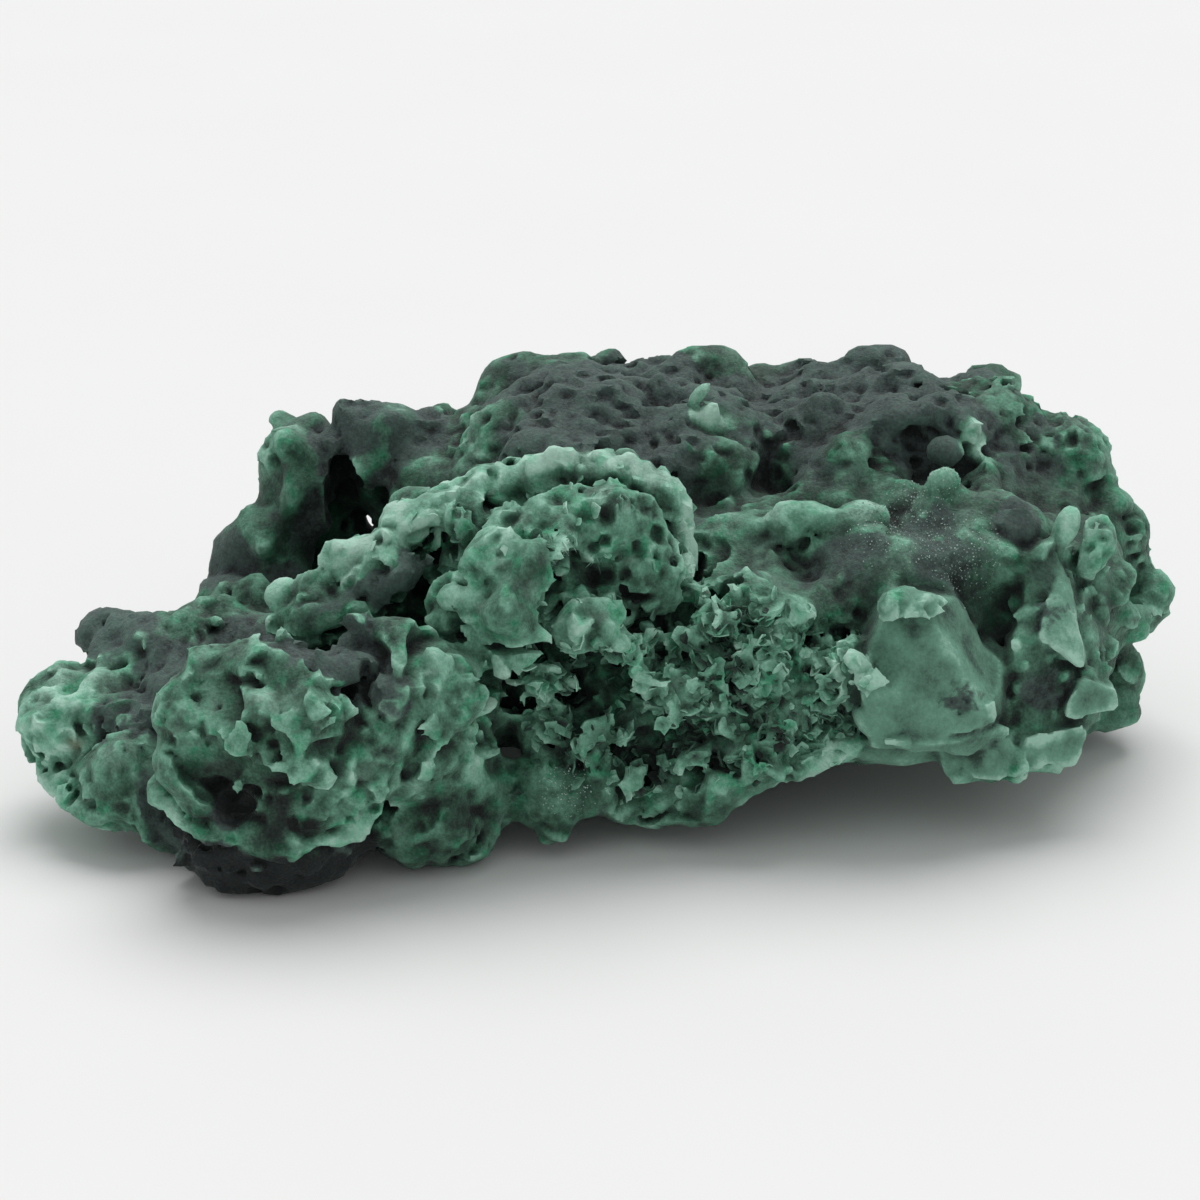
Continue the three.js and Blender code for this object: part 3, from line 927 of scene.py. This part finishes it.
points, quads = skin(shape)
print(len(quads), "faces with bubbles")
points, quads = largest_skin(points, quads)
print(len(quads), "faces in one skin")

# %% [markdown]
# The skin has far more faces than it needs. Decimate keeps them where the surface bends and spends few on
# the smooth lobes, so the thin walls and pit rims stay crisp.

# %% Thin the skin
MOST_TRIANGLES = 195000
SHARP = math.radians(38)  # edges that bend more than this stay sharp


def mesh_from_quads(name, points, quads):
    """A mesh of four-sided faces, from corners in mm."""
    mesh = bpy.data.meshes.new(name)
    mesh.vertices.add(len(points))
    mesh.vertices.foreach_set("co", (points * MM).astype(np.float32).ravel())
    mesh.loops.add(quads.size)
    mesh.loops.foreach_set("vertex_index", quads.astype(np.int32).ravel())
    mesh.polygons.add(len(quads))
    mesh.polygons.foreach_set("loop_start", np.arange(0, quads.size, 4, dtype=np.int32))
    mesh.update(calc_edges=True)
    return mesh


def evaluated(piece):
    """The piece's mesh with its modifiers applied."""
    graph = bpy.context.evaluated_depsgraph_get()
    mesh = bpy.data.meshes.new_from_object(piece.evaluated_get(graph))
    piece.modifiers.clear()
    piece.data = mesh
    return mesh


stone = bpy.data.objects.new("malachite_crust", mesh_from_quads("malachite_crust", points, quads))
bpy.context.scene.collection.objects.link(stone)
thinner = stone.modifiers.new("thin", "DECIMATE")
thinner.ratio = min(1.0, MOST_TRIANGLES / (2 * len(quads)))
thinner.use_collapse_triangulate = True
mesh = evaluated(stone)
cleaner = bmesh.new()
cleaner.from_mesh(mesh)
bmesh.ops.recalc_face_normals(cleaner, faces=cleaner.faces)
open_edges = sum(not edge.is_manifold for edge in cleaner.edges)
cleaner.to_mesh(mesh)
cleaner.free()
mesh.polygons.foreach_set("use_smooth", np.ones(len(mesh.polygons), bool))
mesh.set_sharp_from_angle(angle=SHARP)
print(len(mesh.polygons), "triangles,", open_edges, "edges without two faces")

# %% [markdown]
# ## Tell the material what grew where
#
# The material needs to know where the surface stands proud, where it is sunk, and which crust it is on. The
# block knows all of that, so each mask is read off it at the mesh's own corners and stored as an attribute.

# %% From block to mesh
def read(block, places):
    """The block's values at places in mm, weighed between the eight cells around each place."""
    steps = (places - corner) / CELL
    first = np.clip(steps.astype(int), 0, np.array(block.shape) - 2)
    part = steps - first
    total = np.zeros(len(places), np.float32)
    for index in range(8):
        side = np.array([index & 1, index >> 1 & 1, index >> 2 & 1])
        weight = np.prod(np.where(side, part, 1 - part), axis=1)
        total += weight * block[tuple((first + side).T)]
    return total


def store(mesh, name, values):
    """One number per corner, under a name that materials and node trees can ask for."""
    attribute = mesh.attributes.new(name, "FLOAT", "POINT")
    attribute.data.foreach_set("value", np.ascontiguousarray(values, np.float32))


places = np.zeros(len(mesh.vertices) * 3, np.float32)
mesh.vertices.foreach_get("co", places)
places = places.reshape(-1, 3) / MM
print(len(places), "corners to tell")

# %% [markdown]
# How much solid is nearby says how the surface bends. On a flat face half of the space around a corner is
# solid. On a rim it is less, and in a crease it is more. A wider blur finds the hollows instead.

# %% Rims, creases and hollows
solid = np.clip(0.5 - shape / CELL, 0, 1)
edge_share = read(softened(solid, 0.55), places)
bend_share = read(softened(solid, 2.4), places)
# in the material, rims come out paler, partly as a painted highlight, and creases and hollows darker, partly
# as painted shade
store(mesh, "rim", np.clip((0.47 - edge_share) * 4.5, 0, 1))
store(mesh, "crease", np.clip((edge_share - 0.5) * 3.5, 0, 1))
store(mesh, "sunk", np.clip((bend_share - 0.45) * 2.4, 0, 1))
broad_shape = softened(shape, 2.0)
lift = np.array([0, 0, 1.0])
upward = read(broad_shape, places + lift) - read(broad_shape, places - lift)
store(mesh, "upward", np.clip(upward / 1.2, 0, 1))

# %% [markdown]
# The painted blocks and the zones go over as they are. Three more masks say where loose crystals grow, for
# the scattering further on.

# %% Paints and zones
# the charcoal share and the tint also carry painted shade in a few hollows and on the foot
store(mesh, "velvet", read(charcoal_and_shade, places))
store(mesh, "fresh", read(fresh, places))
store(mesh, "tint", read(tint, places))
warm = np.zeros_like(shape)
for place, reach, amount in [((-53.2, -15.6, 10), 0.6, 0.5), ((-13.2, -24, 17), 1.6, 0.3)]:
    paint(warm, place, reach, amount)
store(mesh, "warm", read(warm, places))
pale_zone = np.maximum.reduce([1.3 * ridge, 0.7 * front_lobe, 0.5 * froth, 0.6 * left_end, 0.4 * right_end])
store(mesh, "pale", read(pale_zone, places))
# how deep inside the open growth a corner is, which the material darkens, partly as painted shade
store(mesh, "inside", np.clip(-read(outer, places) / 2.5, 0, 1))
FLAKE_ROOM = 1.2  # mm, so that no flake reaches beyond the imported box
flaky = np.maximum.reduce([froth, 0.55 * pockets, 0.12 * ridge]) * (1 - charcoal_and_shade) * (1 - fresh)
clear = np.clip(read(room, places) - FLAKE_ROOM, 0, 1)
store(mesh, "flaky", read(flaky, places) * clear)
CRYSTALS = {
    "sugary": [((29, -6, 29.5), 4.5), ((35, -8, 27.5), 4.0), ((32, 0, 32), 3.5), ((-4.4, -22, 8), 2.6)],
    "bristly": [((-5.5, -19, 30.8), 1.8), ((-1.5, -17, 29), 1.6), ((5.5, -13, 27.5), 1.6)],
}
for name, spots in CRYSTALS.items():
    share = np.zeros_like(shape)
    for place, reach in spots:
        paint(share, place, reach, 1.0)
    store(mesh, name, np.clip(read(share, places), 0, 1))
print("attributes", [attribute.name for attribute in mesh.attributes])

# %% [markdown]
# ## The stone's colours
#
# A few helpers first, so that the material below reads as a recipe: each one adds a node, and returns the
# output that the next one takes.

# %% Node helpers
def new_material(name):
    """A material and its main shader."""
    material = bpy.data.materials.new(name)
    material.use_nodes = True
    return material, material.node_tree.nodes["Principled BSDF"]


def wire(material, kind, **settings):
    """A new node with its settings."""
    node = material.node_tree.nodes.new(kind)
    for name, value in settings.items():
        setattr(node, name, value)
    return node


def feed(material, node, socket, value):
    """Puts a number, a colour or another node's output into a socket."""
    if hasattr(value, "is_output"):
        material.node_tree.links.new(value, node.inputs[socket])
    else:
        node.inputs[socket].default_value = value


def attribute(material, name):
    return wire(material, "ShaderNodeAttribute", attribute_name=name).outputs["Fac"]


def math_node(material, operation, first, second=0.0, third=0.0):
    node = wire(material, "ShaderNodeMath", operation=operation)
    for socket, value in enumerate((first, second, third)):
        feed(material, node, socket, value)
    return node.outputs[0]


def noise(material, size, detail, roughness):
    """Noise whose blobs are `size` mm, on the piece's own coordinates."""
    node = wire(material, "ShaderNodeTexNoise")
    feed(material, node, "Vector", wire(material, "ShaderNodeTexCoord").outputs["Object"])
    feed(material, node, "Scale", 1 / (size * MM))
    feed(material, node, "Detail", detail)
    feed(material, node, "Roughness", roughness)
    return node.outputs["Fac"]


def span_to(material, value, start, stop, low_value=0.0, high_value=1.0):
    """The value's range start to stop, turned smoothly into low_value to high_value."""
    node = wire(material, "ShaderNodeMapRange", interpolation_type="SMOOTHSTEP")
    for socket, number in enumerate((value, start, stop, low_value, high_value)):
        feed(material, node, socket, number)
    return node.outputs[0]


def mix(material, share, first, second):
    """The first colour, with a share of the second over it."""
    node = wire(material, "ShaderNodeMix", data_type="RGBA")
    feed(material, node, 0, share)
    feed(material, node, 6, first)
    feed(material, node, 7, second)
    return node.outputs[2]


def colour(red, green, blue):
    return (red, green, blue, 1.0)


# %% [markdown]
# Malachite's green comes in three depths on one rock. The velvet of fine fibres soaks up light and looks
# like charcoal. The body of the crust is a deep bluish green. Wherever a rim is thin or rubbed, light gets
# back out, and it turns pale mint; the material also pales every convex rim as a painted highlight. On top
# of that, the crust is more vivid in some patches and dusty in others. So there is one row of tones for
# each, from dark to pale. Colours are linear light, so they look lower here than on a colour picker.

# %% Tones
CRUST_TONES = [
    (0.02, colour(0.006, 0.008, 0.008)),
    (0.18, colour(0.014, 0.030, 0.022)),
    (0.34, colour(0.034, 0.092, 0.060)),
    (0.48, colour(0.075, 0.190, 0.128)),
    (0.62, colour(0.130, 0.315, 0.218)),
    (0.80, colour(0.260, 0.520, 0.390)),
    (1.00, colour(0.460, 0.720, 0.590)),
]
VELVET_TONES = [
    (0.05, colour(0.014, 0.018, 0.018)),
    (0.35, colour(0.045, 0.064, 0.061)),
    (0.65, colour(0.066, 0.106, 0.094)),
    (1.00, colour(0.080, 0.165, 0.125)),
]
BREAK_TONES = [
    (0.10, colour(0.030, 0.060, 0.046)),
    (0.42, colour(0.110, 0.250, 0.178)),
    (0.70, colour(0.170, 0.370, 0.270)),
    (1.00, colour(0.380, 0.640, 0.510)),
]
VIVID_TONES = [
    (0.05, colour(0.004, 0.012, 0.008)),
    (0.38, colour(0.012, 0.100, 0.050)),
    (0.60, colour(0.035, 0.300, 0.150)),
    (0.85, colour(0.200, 0.560, 0.370)),
]
DUSTY_TONES = [
    (0.05, colour(0.012, 0.014, 0.014)),
    (0.38, colour(0.055, 0.085, 0.072)),
    (0.60, colour(0.130, 0.200, 0.165)),
    (0.85, colour(0.350, 0.500, 0.430)),
]

# %% [markdown]
# The tone is a sum. It starts at a middle value, and each mask or noise takes it up or down by its weight,
# so rims come out pale and creases dark without a colour of their own. The pale rims are partly the
# rubbed mint of the crust and partly a painted highlight, and the dark creases, hollows and deep froth are
# partly the deeper green of the hollows and partly painted shade. Three layers are then laid over each
# other: the crust, the velvet where it hasn't worn off, and the stone that a fresh break shows.

# %% The crust's material
GRAIN = 0.3  # mm, the finest roughness


def ramp(material, value, stops):
    """Colours along a value, from (place, colour) stops."""
    node = wire(material, "ShaderNodeValToRGB")
    for place, _ in stops[1:-1]:
        node.color_ramp.elements.new(place)
    for element, (place, shade) in zip(node.color_ramp.elements, stops):
        element.position = place
        element.color = shade
    feed(material, node, "Fac", value)
    return node.outputs["Color"]


def total(material, parts):
    """The sum of values, each times its weight."""
    result = 0.0
    for value, weight in parts:
        result = math_node(material, "MULTIPLY_ADD", value, weight, result)
    return result


def crust_material():
    material, shader = new_material("malachite_crust")
    rim, crease, sunk, inside, upward, velvet_and_shade, fresh_share, pale, painted, warm = (
        attribute(material, name)
        for name in ("rim", "crease", "sunk", "inside", "upward", "velvet", "fresh", "pale", "tint", "warm")
    )
    patches = span_to(material, noise(material, 4.5, 3, 0.5), 0.35, 0.65, -0.1, 0.1)
    mottle = span_to(material, noise(material, 1.1, 5, 0.65), 0.34, 0.66, -0.1, 0.1)
    speckle = span_to(material, noise(material, 0.35, 4, 0.7), 0.36, 0.64, -0.09, 0.09)
    grain = noise(material, GRAIN, 3, 0.6)

    # The crust's tone runs from black in the hollows, partly painted shade, to dusty mint on the rims,
    # partly a painted highlight.
    tone = total(material, [
        (0.41, 1), (patches, 1.1), (mottle, 0.5), (speckle, 0.55), (painted, 1), (pale, 0.09),
        # rim pales edges, partly as a painted highlight; crease, sunk and inside darken, partly as painted
        # shade
        (rim, 0.38), (crease, -0.4), (sunk, -0.24), (inside, -0.14),
    ])
    base = ramp(material, tone, CRUST_TONES)
    vivid = span_to(material, noise(material, 2.4, 4, 0.6), 0.5, 0.66, 0.0, 0.75)
    base = mix(material, vivid, base, ramp(material, tone, VIVID_TONES))
    dusty = total(material, [(noise(material, 3.2, 4, 0.6), 1), (upward, 0.12), (rim, -0.2)])
    dusty = span_to(material, dusty, 0.52, 0.7, 0.0, 0.5)
    base = mix(material, dusty, base, ramp(material, tone, DUSTY_TONES))

    # Velvet lies over the crust, thinning out at its edges and worn off the rims.
    velvet_amount = total(material, [
        (velvet_and_shade, 1), (upward, 0.16), (patches, 2.2), (mottle, 1.2), (rim, -0.3), (painted, -0.5),
    ])
    velvet_amount = span_to(material, velvet_amount, 0.3, 0.66, 0.0, 0.94)
    # the nap is darker in creases and hollows, partly as painted shade
    nap = total(material, [
        (0.56, 1), (mottle, 1.1), (speckle, 1.3), (patches, -1.2), (painted, 1.2),
        (crease, -0.7), (sunk, -0.3),
    ])
    base = mix(material, velvet_amount, base, ramp(material, nap, VELVET_TONES))

    # Two small spots of earth sit in the crust.
    base = mix(material, warm, base, colour(0.30, 0.24, 0.15))

    # A fresh break shows the solid stone: even grey-green, with a dark stain and pale corners, the corners
    # partly a painted highlight, and with painted shade in part of the darkness of its creases.
    broken_tone = total(material, [
        (0.47, 1), (mottle, 0.6), (speckle, 0.6), (patches, 1.6), (painted, 1),
        (rim, 0.55), (crease, -0.6), (sunk, -0.2),
    ])
    stone_share = total(material, [(fresh_share, 0.9), (velvet_amount, -0.8)])
    stone_share = span_to(material, stone_share, 0.1, 0.8)
    base = mix(material, stone_share, base, ramp(material, broken_tone, BREAK_TONES))
    feed(material, shader, "Base Color", base)

    feed(material, shader, "Roughness", span_to(material, grain, 0.3, 0.7, 0.55, 0.9))
    feed(material, shader, "Specular IOR Level", 0.35)
    feed(material, shader, "Sheen Weight", 0.12)
    feed(material, shader, "Sheen Roughness", 0.4)
    feed(material, shader, "Sheen Tint", colour(0.75, 0.9, 0.85))

    tooth = wire(material, "ShaderNodeBump")
    feed(material, tooth, "Strength", 0.8)
    feed(material, tooth, "Distance", GRAIN * MM)
    feed(material, tooth, "Height", total(material, [(grain, 0.4), (noise(material, 0.7, 5, 0.7), 1)]))
    feed(material, shader, "Normal", tooth.outputs[0])
    return material


crust_look = crust_material()
mesh.materials.clear()
mesh.materials.append(crust_look)
print("the crust's look takes", len(crust_look.node_tree.nodes), "nodes")

# %% [markdown]
# ## Flakes, sugar and bristles
#
# The froth is full of leaves thinner than the block's cells can hold: ragged flakes a millimetre or two
# wide that catch the light on their edges, and whose edges are also painted pale, partly as a painted
# highlight. Geometry Nodes scatters them where the attribute `flaky` says, each one turned at random and
# half sunk in the crust. The same tree, with other pieces and another attribute, lays the sugary crystals
# that glint on the shoulder, and the white bristles inside the ridge.

# %% Pieces to scatter
def closed_piece(name, corners, faces, rims):
    """A small closed mesh, with how pale each of its corners is."""
    piece_mesh = bpy.data.meshes.new(name)
    piece_mesh.from_pydata([Vector(corner) for corner in corners], [], faces)
    store(piece_mesh, "rim", rims)
    return bpy.data.objects.new(name, piece_mesh)


def flake(name, seed):
    """A domed plate with a ragged outline, one unit across its half width."""
    shaper = np.random.default_rng(seed)
    sides = 9
    corners = [(0, 0, 0.10), (0, 0, -0.10)]
    for side in range(sides):
        angle = math.tau * (side + shaper.uniform(-0.3, 0.3)) / sides
        reach = shaper.uniform(0.55, 1.0)
        drop = -0.35 * reach**2 + shaper.uniform(-0.12, 0.12)
        corners.append((reach * math.cos(angle), reach * math.sin(angle), drop + 0.06))
        corners.append((reach * math.cos(angle), reach * math.sin(angle), drop - 0.06))
    faces = []
    for side in range(sides):
        top, after = 2 + 2 * side, 2 + 2 * ((side + 1) % sides)
        faces += [(0, top, after), (1, after + 1, top + 1)]
        faces += [(top, top + 1, after + 1), (top, after + 1, after)]
    # pale edges, partly the crust's rubbed mint and partly a painted highlight
    return closed_piece(name, corners, faces, [0.1, 0.1] + [0.75] * (2 * sides))


def spike(name, length, width, rim):
    """A four-sided needle, or with equal length and width a small crystal."""
    corners = [(0, 0, length), (0, 0, -0.5 * length)]
    corners += [(width, 0, 0), (0, width, 0), (-width, 0, 0), (0, -width, 0)]
    faces = []
    for side in range(4):
        here, after = 2 + side, 2 + (side + 1) % 4
        faces += [(0, here, after), (1, after, here)]
    return closed_piece(name, corners, faces, [rim] * 6)


def shelf(name, pieces):
    """A collection that the tree can pick from; it isn't part of the scene."""
    collection = bpy.data.collections.new(name)
    for piece in pieces:
        collection.objects.link(piece)
    return collection


flakes = shelf("flakes", [flake("flake_%d" % number, 40 + number) for number in range(5)])
sugar = shelf("sugar", [spike("sugar_grain", 0.9, 0.7, 0.6)])
bristles = shelf("bristles", [spike("bristle", 1.0, 0.07, 0.9)])

# %% [markdown]
# One tree does all three. It spreads points over the crust, as densely as the attribute says. It puts a
# random piece on each, turned and scaled at random, and a random amount paler or darker than the crust
# under it. Last it turns them into real mesh, so that each kind is one plain piece.

# %% The tree that scatters
SMALLEST, LARGEST = 0.45, 1.3  # of a piece, as shares of the given size
DARKEST, PALEST = -0.4, 0.17  # what a piece adds to the tint under it


def scatter_tree(name):
    tree = bpy.data.node_groups.new(name, "GeometryNodeTree")
    sockets = [
        ("Surface", "NodeSocketGeometry"), ("Pieces", "NodeSocketCollection"), ("Where", "NodeSocketString"),
        ("Per Area", "NodeSocketFloat"), ("Size", "NodeSocketFloat"), ("Tilt", "NodeSocketFloat"),
        ("Material", "NodeSocketMaterial"), ("Seed", "NodeSocketInt"),
    ]
    for socket, kind in sockets:
        tree.interface.new_socket(socket, in_out="INPUT", socket_type=kind)
    tree.interface.new_socket("Pieces", in_out="OUTPUT", socket_type="NodeSocketGeometry")

    def add(kind, **settings):
        node = tree.nodes.new(kind)
        for setting, value in settings.items():
            setattr(node, setting, value)
        return node

    def join(output, node, socket):
        tree.links.new(output, node.inputs[socket])

    given = add("NodeGroupInput").outputs
    where = add("GeometryNodeInputNamedAttribute", data_type="FLOAT")
    join(given["Where"], where, "Name")
    density = add("ShaderNodeMath", operation="MULTIPLY")
    join(where.outputs["Attribute"], density, 0)
    join(given["Per Area"], density, 1)
    spread = add("GeometryNodeDistributePointsOnFaces", distribute_method="RANDOM")
    join(given["Surface"], spread, "Mesh")
    join(density.outputs[0], spread, "Density")
    join(given["Seed"], spread, "Seed")

    size = add("FunctionNodeRandomValue", data_type="FLOAT")
    size.inputs[2].default_value = SMALLEST
    size.inputs[3].default_value = LARGEST
    join(given["Seed"], size, "Seed")
    scale = add("ShaderNodeMath", operation="MULTIPLY")
    join(size.outputs[1], scale, 0)
    join(given["Size"], scale, 1)

    lean = add("ShaderNodeCombineXYZ")
    lean_low = add("ShaderNodeVectorMath", operation="SCALE")
    join(given["Tilt"], lean, "X")
    join(given["Tilt"], lean, "Y")
    lean.inputs["Z"].default_value = math.pi
    join(lean.outputs[0], lean_low, 0)
    lean_low.inputs["Scale"].default_value = -1
    turn = add("FunctionNodeRandomValue", data_type="FLOAT_VECTOR")
    join(lean_low.outputs[0], turn, 0)
    join(lean.outputs[0], turn, 1)
    join(given["Seed"], turn, "Seed")
    turned = add("FunctionNodeRotateRotation", rotation_space="LOCAL")
    join(spread.outputs["Rotation"], turned, "Rotation")
    join(turn.outputs[0], turned, "Rotate By")

    pieces = add("GeometryNodeCollectionInfo", transform_space="ORIGINAL")
    join(given["Pieces"], pieces, "Collection")
    pieces.inputs["Separate Children"].default_value = True
    pieces.inputs["Reset Children"].default_value = True
    place = add("GeometryNodeInstanceOnPoints")
    place.inputs["Pick Instance"].default_value = True
    join(spread.outputs["Points"], place, "Points")
    join(pieces.outputs[0], place, "Instance")
    join(turned.outputs[0], place, "Rotation")
    join(scale.outputs[0], place, "Scale")

    shade = add("FunctionNodeRandomValue", data_type="FLOAT")
    shade.inputs[2].default_value = DARKEST
    shade.inputs[3].default_value = PALEST
    below = add("GeometryNodeInputNamedAttribute", data_type="FLOAT")
    below.inputs["Name"].default_value = "tint"
    tone = add("ShaderNodeMath", operation="ADD")
    join(shade.outputs[1], tone, 0)
    join(below.outputs["Attribute"], tone, 1)
    shaded = add("GeometryNodeStoreNamedAttribute", data_type="FLOAT", domain="INSTANCE")
    shaded.inputs["Name"].default_value = "tint"
    join(place.outputs[0], shaded, "Geometry")
    join(tone.outputs[0], shaded, "Value")
    real = add("GeometryNodeRealizeInstances")
    join(shaded.outputs[0], real, "Geometry")
    dressed = add("GeometryNodeSetMaterial")
    join(real.outputs[0], dressed, "Geometry")
    join(given["Material"], dressed, "Material")
    join(dressed.outputs[0], add("NodeGroupOutput"), 0)
    return tree


SCATTER = scatter_tree("scatter_pieces")
print("the tree has", len(SCATTER.nodes), "nodes")

# %% [markdown]
# Flakes and bristles wear the crust's own material, so they match what they grow on. Sugar crystals are
# pale and smooth, and glint.

# %% Scatter
PER_MM2 = 1 / MM**2


def scattered(name, **inputs):
    """Pieces of crystal on the crust, as one plain mesh."""
    piece = bpy.data.objects.new(name, stone.data.copy())
    bpy.context.scene.collection.objects.link(piece)
    modifier = piece.modifiers.new("scatter", "NODES")
    modifier.node_group = SCATTER
    for socket in SCATTER.interface.items_tree:
        given = socket.name.replace(" ", "_").lower()
        if socket.in_out == "INPUT" and given in inputs:
            modifier[socket.identifier] = inputs[given]
    mesh = evaluated(piece)
    mesh.polygons.foreach_set("use_smooth", np.zeros(len(mesh.polygons), bool))
    print(name, "has", len(mesh.polygons), "triangles")
    return piece


def sugar_material():
    material, shader = new_material("malachite_sugar")
    tone = span_to(material, noise(material, 0.6, 2, 0.5), 0.35, 0.65)
    glint = mix(material, tone, colour(0.10, 0.20, 0.16), colour(0.45, 0.60, 0.54))
    feed(material, shader, "Base Color", glint)
    feed(material, shader, "Roughness", 0.12)
    feed(material, shader, "Specular IOR Level", 0.7)
    return material


flake_piece = scattered(
    "malachite_flakes", pieces=flakes, where="flaky", per_area=0.9 * PER_MM2, size=0.95 * MM,
    tilt=1.1, material=crust_look, seed=3,
)
sugar_piece = scattered(
    "malachite_sugar", pieces=sugar, where="sugary", per_area=7.0 * PER_MM2, size=0.13 * MM,
    tilt=1.5, material=sugar_material(), seed=4,
)
bristle_piece = scattered(
    "malachite_bristles", pieces=bristles, where="bristly", per_area=9.0 * PER_MM2, size=0.8 * MM,
    tilt=1.0, material=crust_look, seed=5,
)

# %% [markdown]
# ## Floor, light and camera
#
# A pale seamless table under a big soft light, which hangs over the rock and a little behind it. The shadow
# then falls under the rock's raised front.

# %% Floor
HALF_FLOOR = 3.0  # m
FLOOR_HEIGHT = -0.02 * MM  # just below the worn points


def floor_material():
    material, shader = new_material("pale_floor")
    tone = span_to(material, noise(material, 40, 3, 0.5), 0.3, 0.7)
    shade = mix(material, tone, colour(0.812, 0.812, 0.803), colour(0.818, 0.818, 0.810))
    feed(material, shader, "Base Color", shade)
    feed(material, shader, "Roughness", 0.75)
    return material


floor_mesh = bpy.data.meshes.new("floor")
ends = [(-1, -1), (1, -1), (1, 1), (-1, 1)]
ends = [(HALF_FLOOR * right, HALF_FLOOR * back, FLOOR_HEIGHT) for right, back in ends]
floor_mesh.from_pydata(ends, [], [(0, 1, 2, 3)])
floor_mesh.materials.append(floor_material())
floor = bpy.data.objects.new("floor", floor_mesh)
bpy.context.scene.collection.objects.link(floor)

# %% Light
world = bpy.data.worlds.new("studio")
bpy.context.scene.world = world
world.use_nodes = True
sky = world.node_tree.nodes["Background"]
sky.inputs["Color"].default_value = colour(0.93, 0.94, 0.95)
sky.inputs["Strength"].default_value = 0.58

light = bpy.data.lights.new("soft_overhead", "SUN")
light.energy = 1.9
light.angle = math.radians(50)  # as wide as a big soft box close by
lamp = bpy.data.objects.new("soft_overhead", light)
lamp.rotation_euler = Vector((0.1, 0.5, 1.0)).to_track_quat("Z", "Y").to_euler()
bpy.context.scene.collection.objects.link(lamp)
print("light from", [round(turn, 2) for turn in lamp.rotation_euler])

# %% [markdown]
# The camera looks down at the middle of the rock from the front, with a long lens from less than half a
# metre, as one would shoot a hand specimen.

# %% Camera
CAMERA_RISE = math.radians(20)
CAMERA_FAR = 430 * MM
LENS = 125.76  # mm
aim = Vector((-0.92, 0.68, 19.4)) * MM
camera = bpy.data.objects.new("camera", bpy.data.cameras.new("camera"))
camera.data.sensor_width = 36
camera.data.lens = LENS
camera.data.clip_start = 0.02
camera.location = aim + CAMERA_FAR * Vector((0, -math.cos(CAMERA_RISE), math.sin(CAMERA_RISE)))
camera.rotation_euler = (aim - camera.location).to_track_quat("-Z", "Y").to_euler()
bpy.context.scene.collection.objects.link(camera)
bpy.context.scene.camera = camera
bpy.context.scene.view_settings.view_transform = "Standard"
print("camera at", [round(place, 3) for place in camera.location])

# %% [markdown]
# ## Hand the pieces over
#
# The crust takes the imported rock's place. The loose growth rides along on the same body.

# %% Hand over
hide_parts("malachite")
for piece in (stone, flake_piece, sugar_piece, bristle_piece):
    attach(piece, "root")
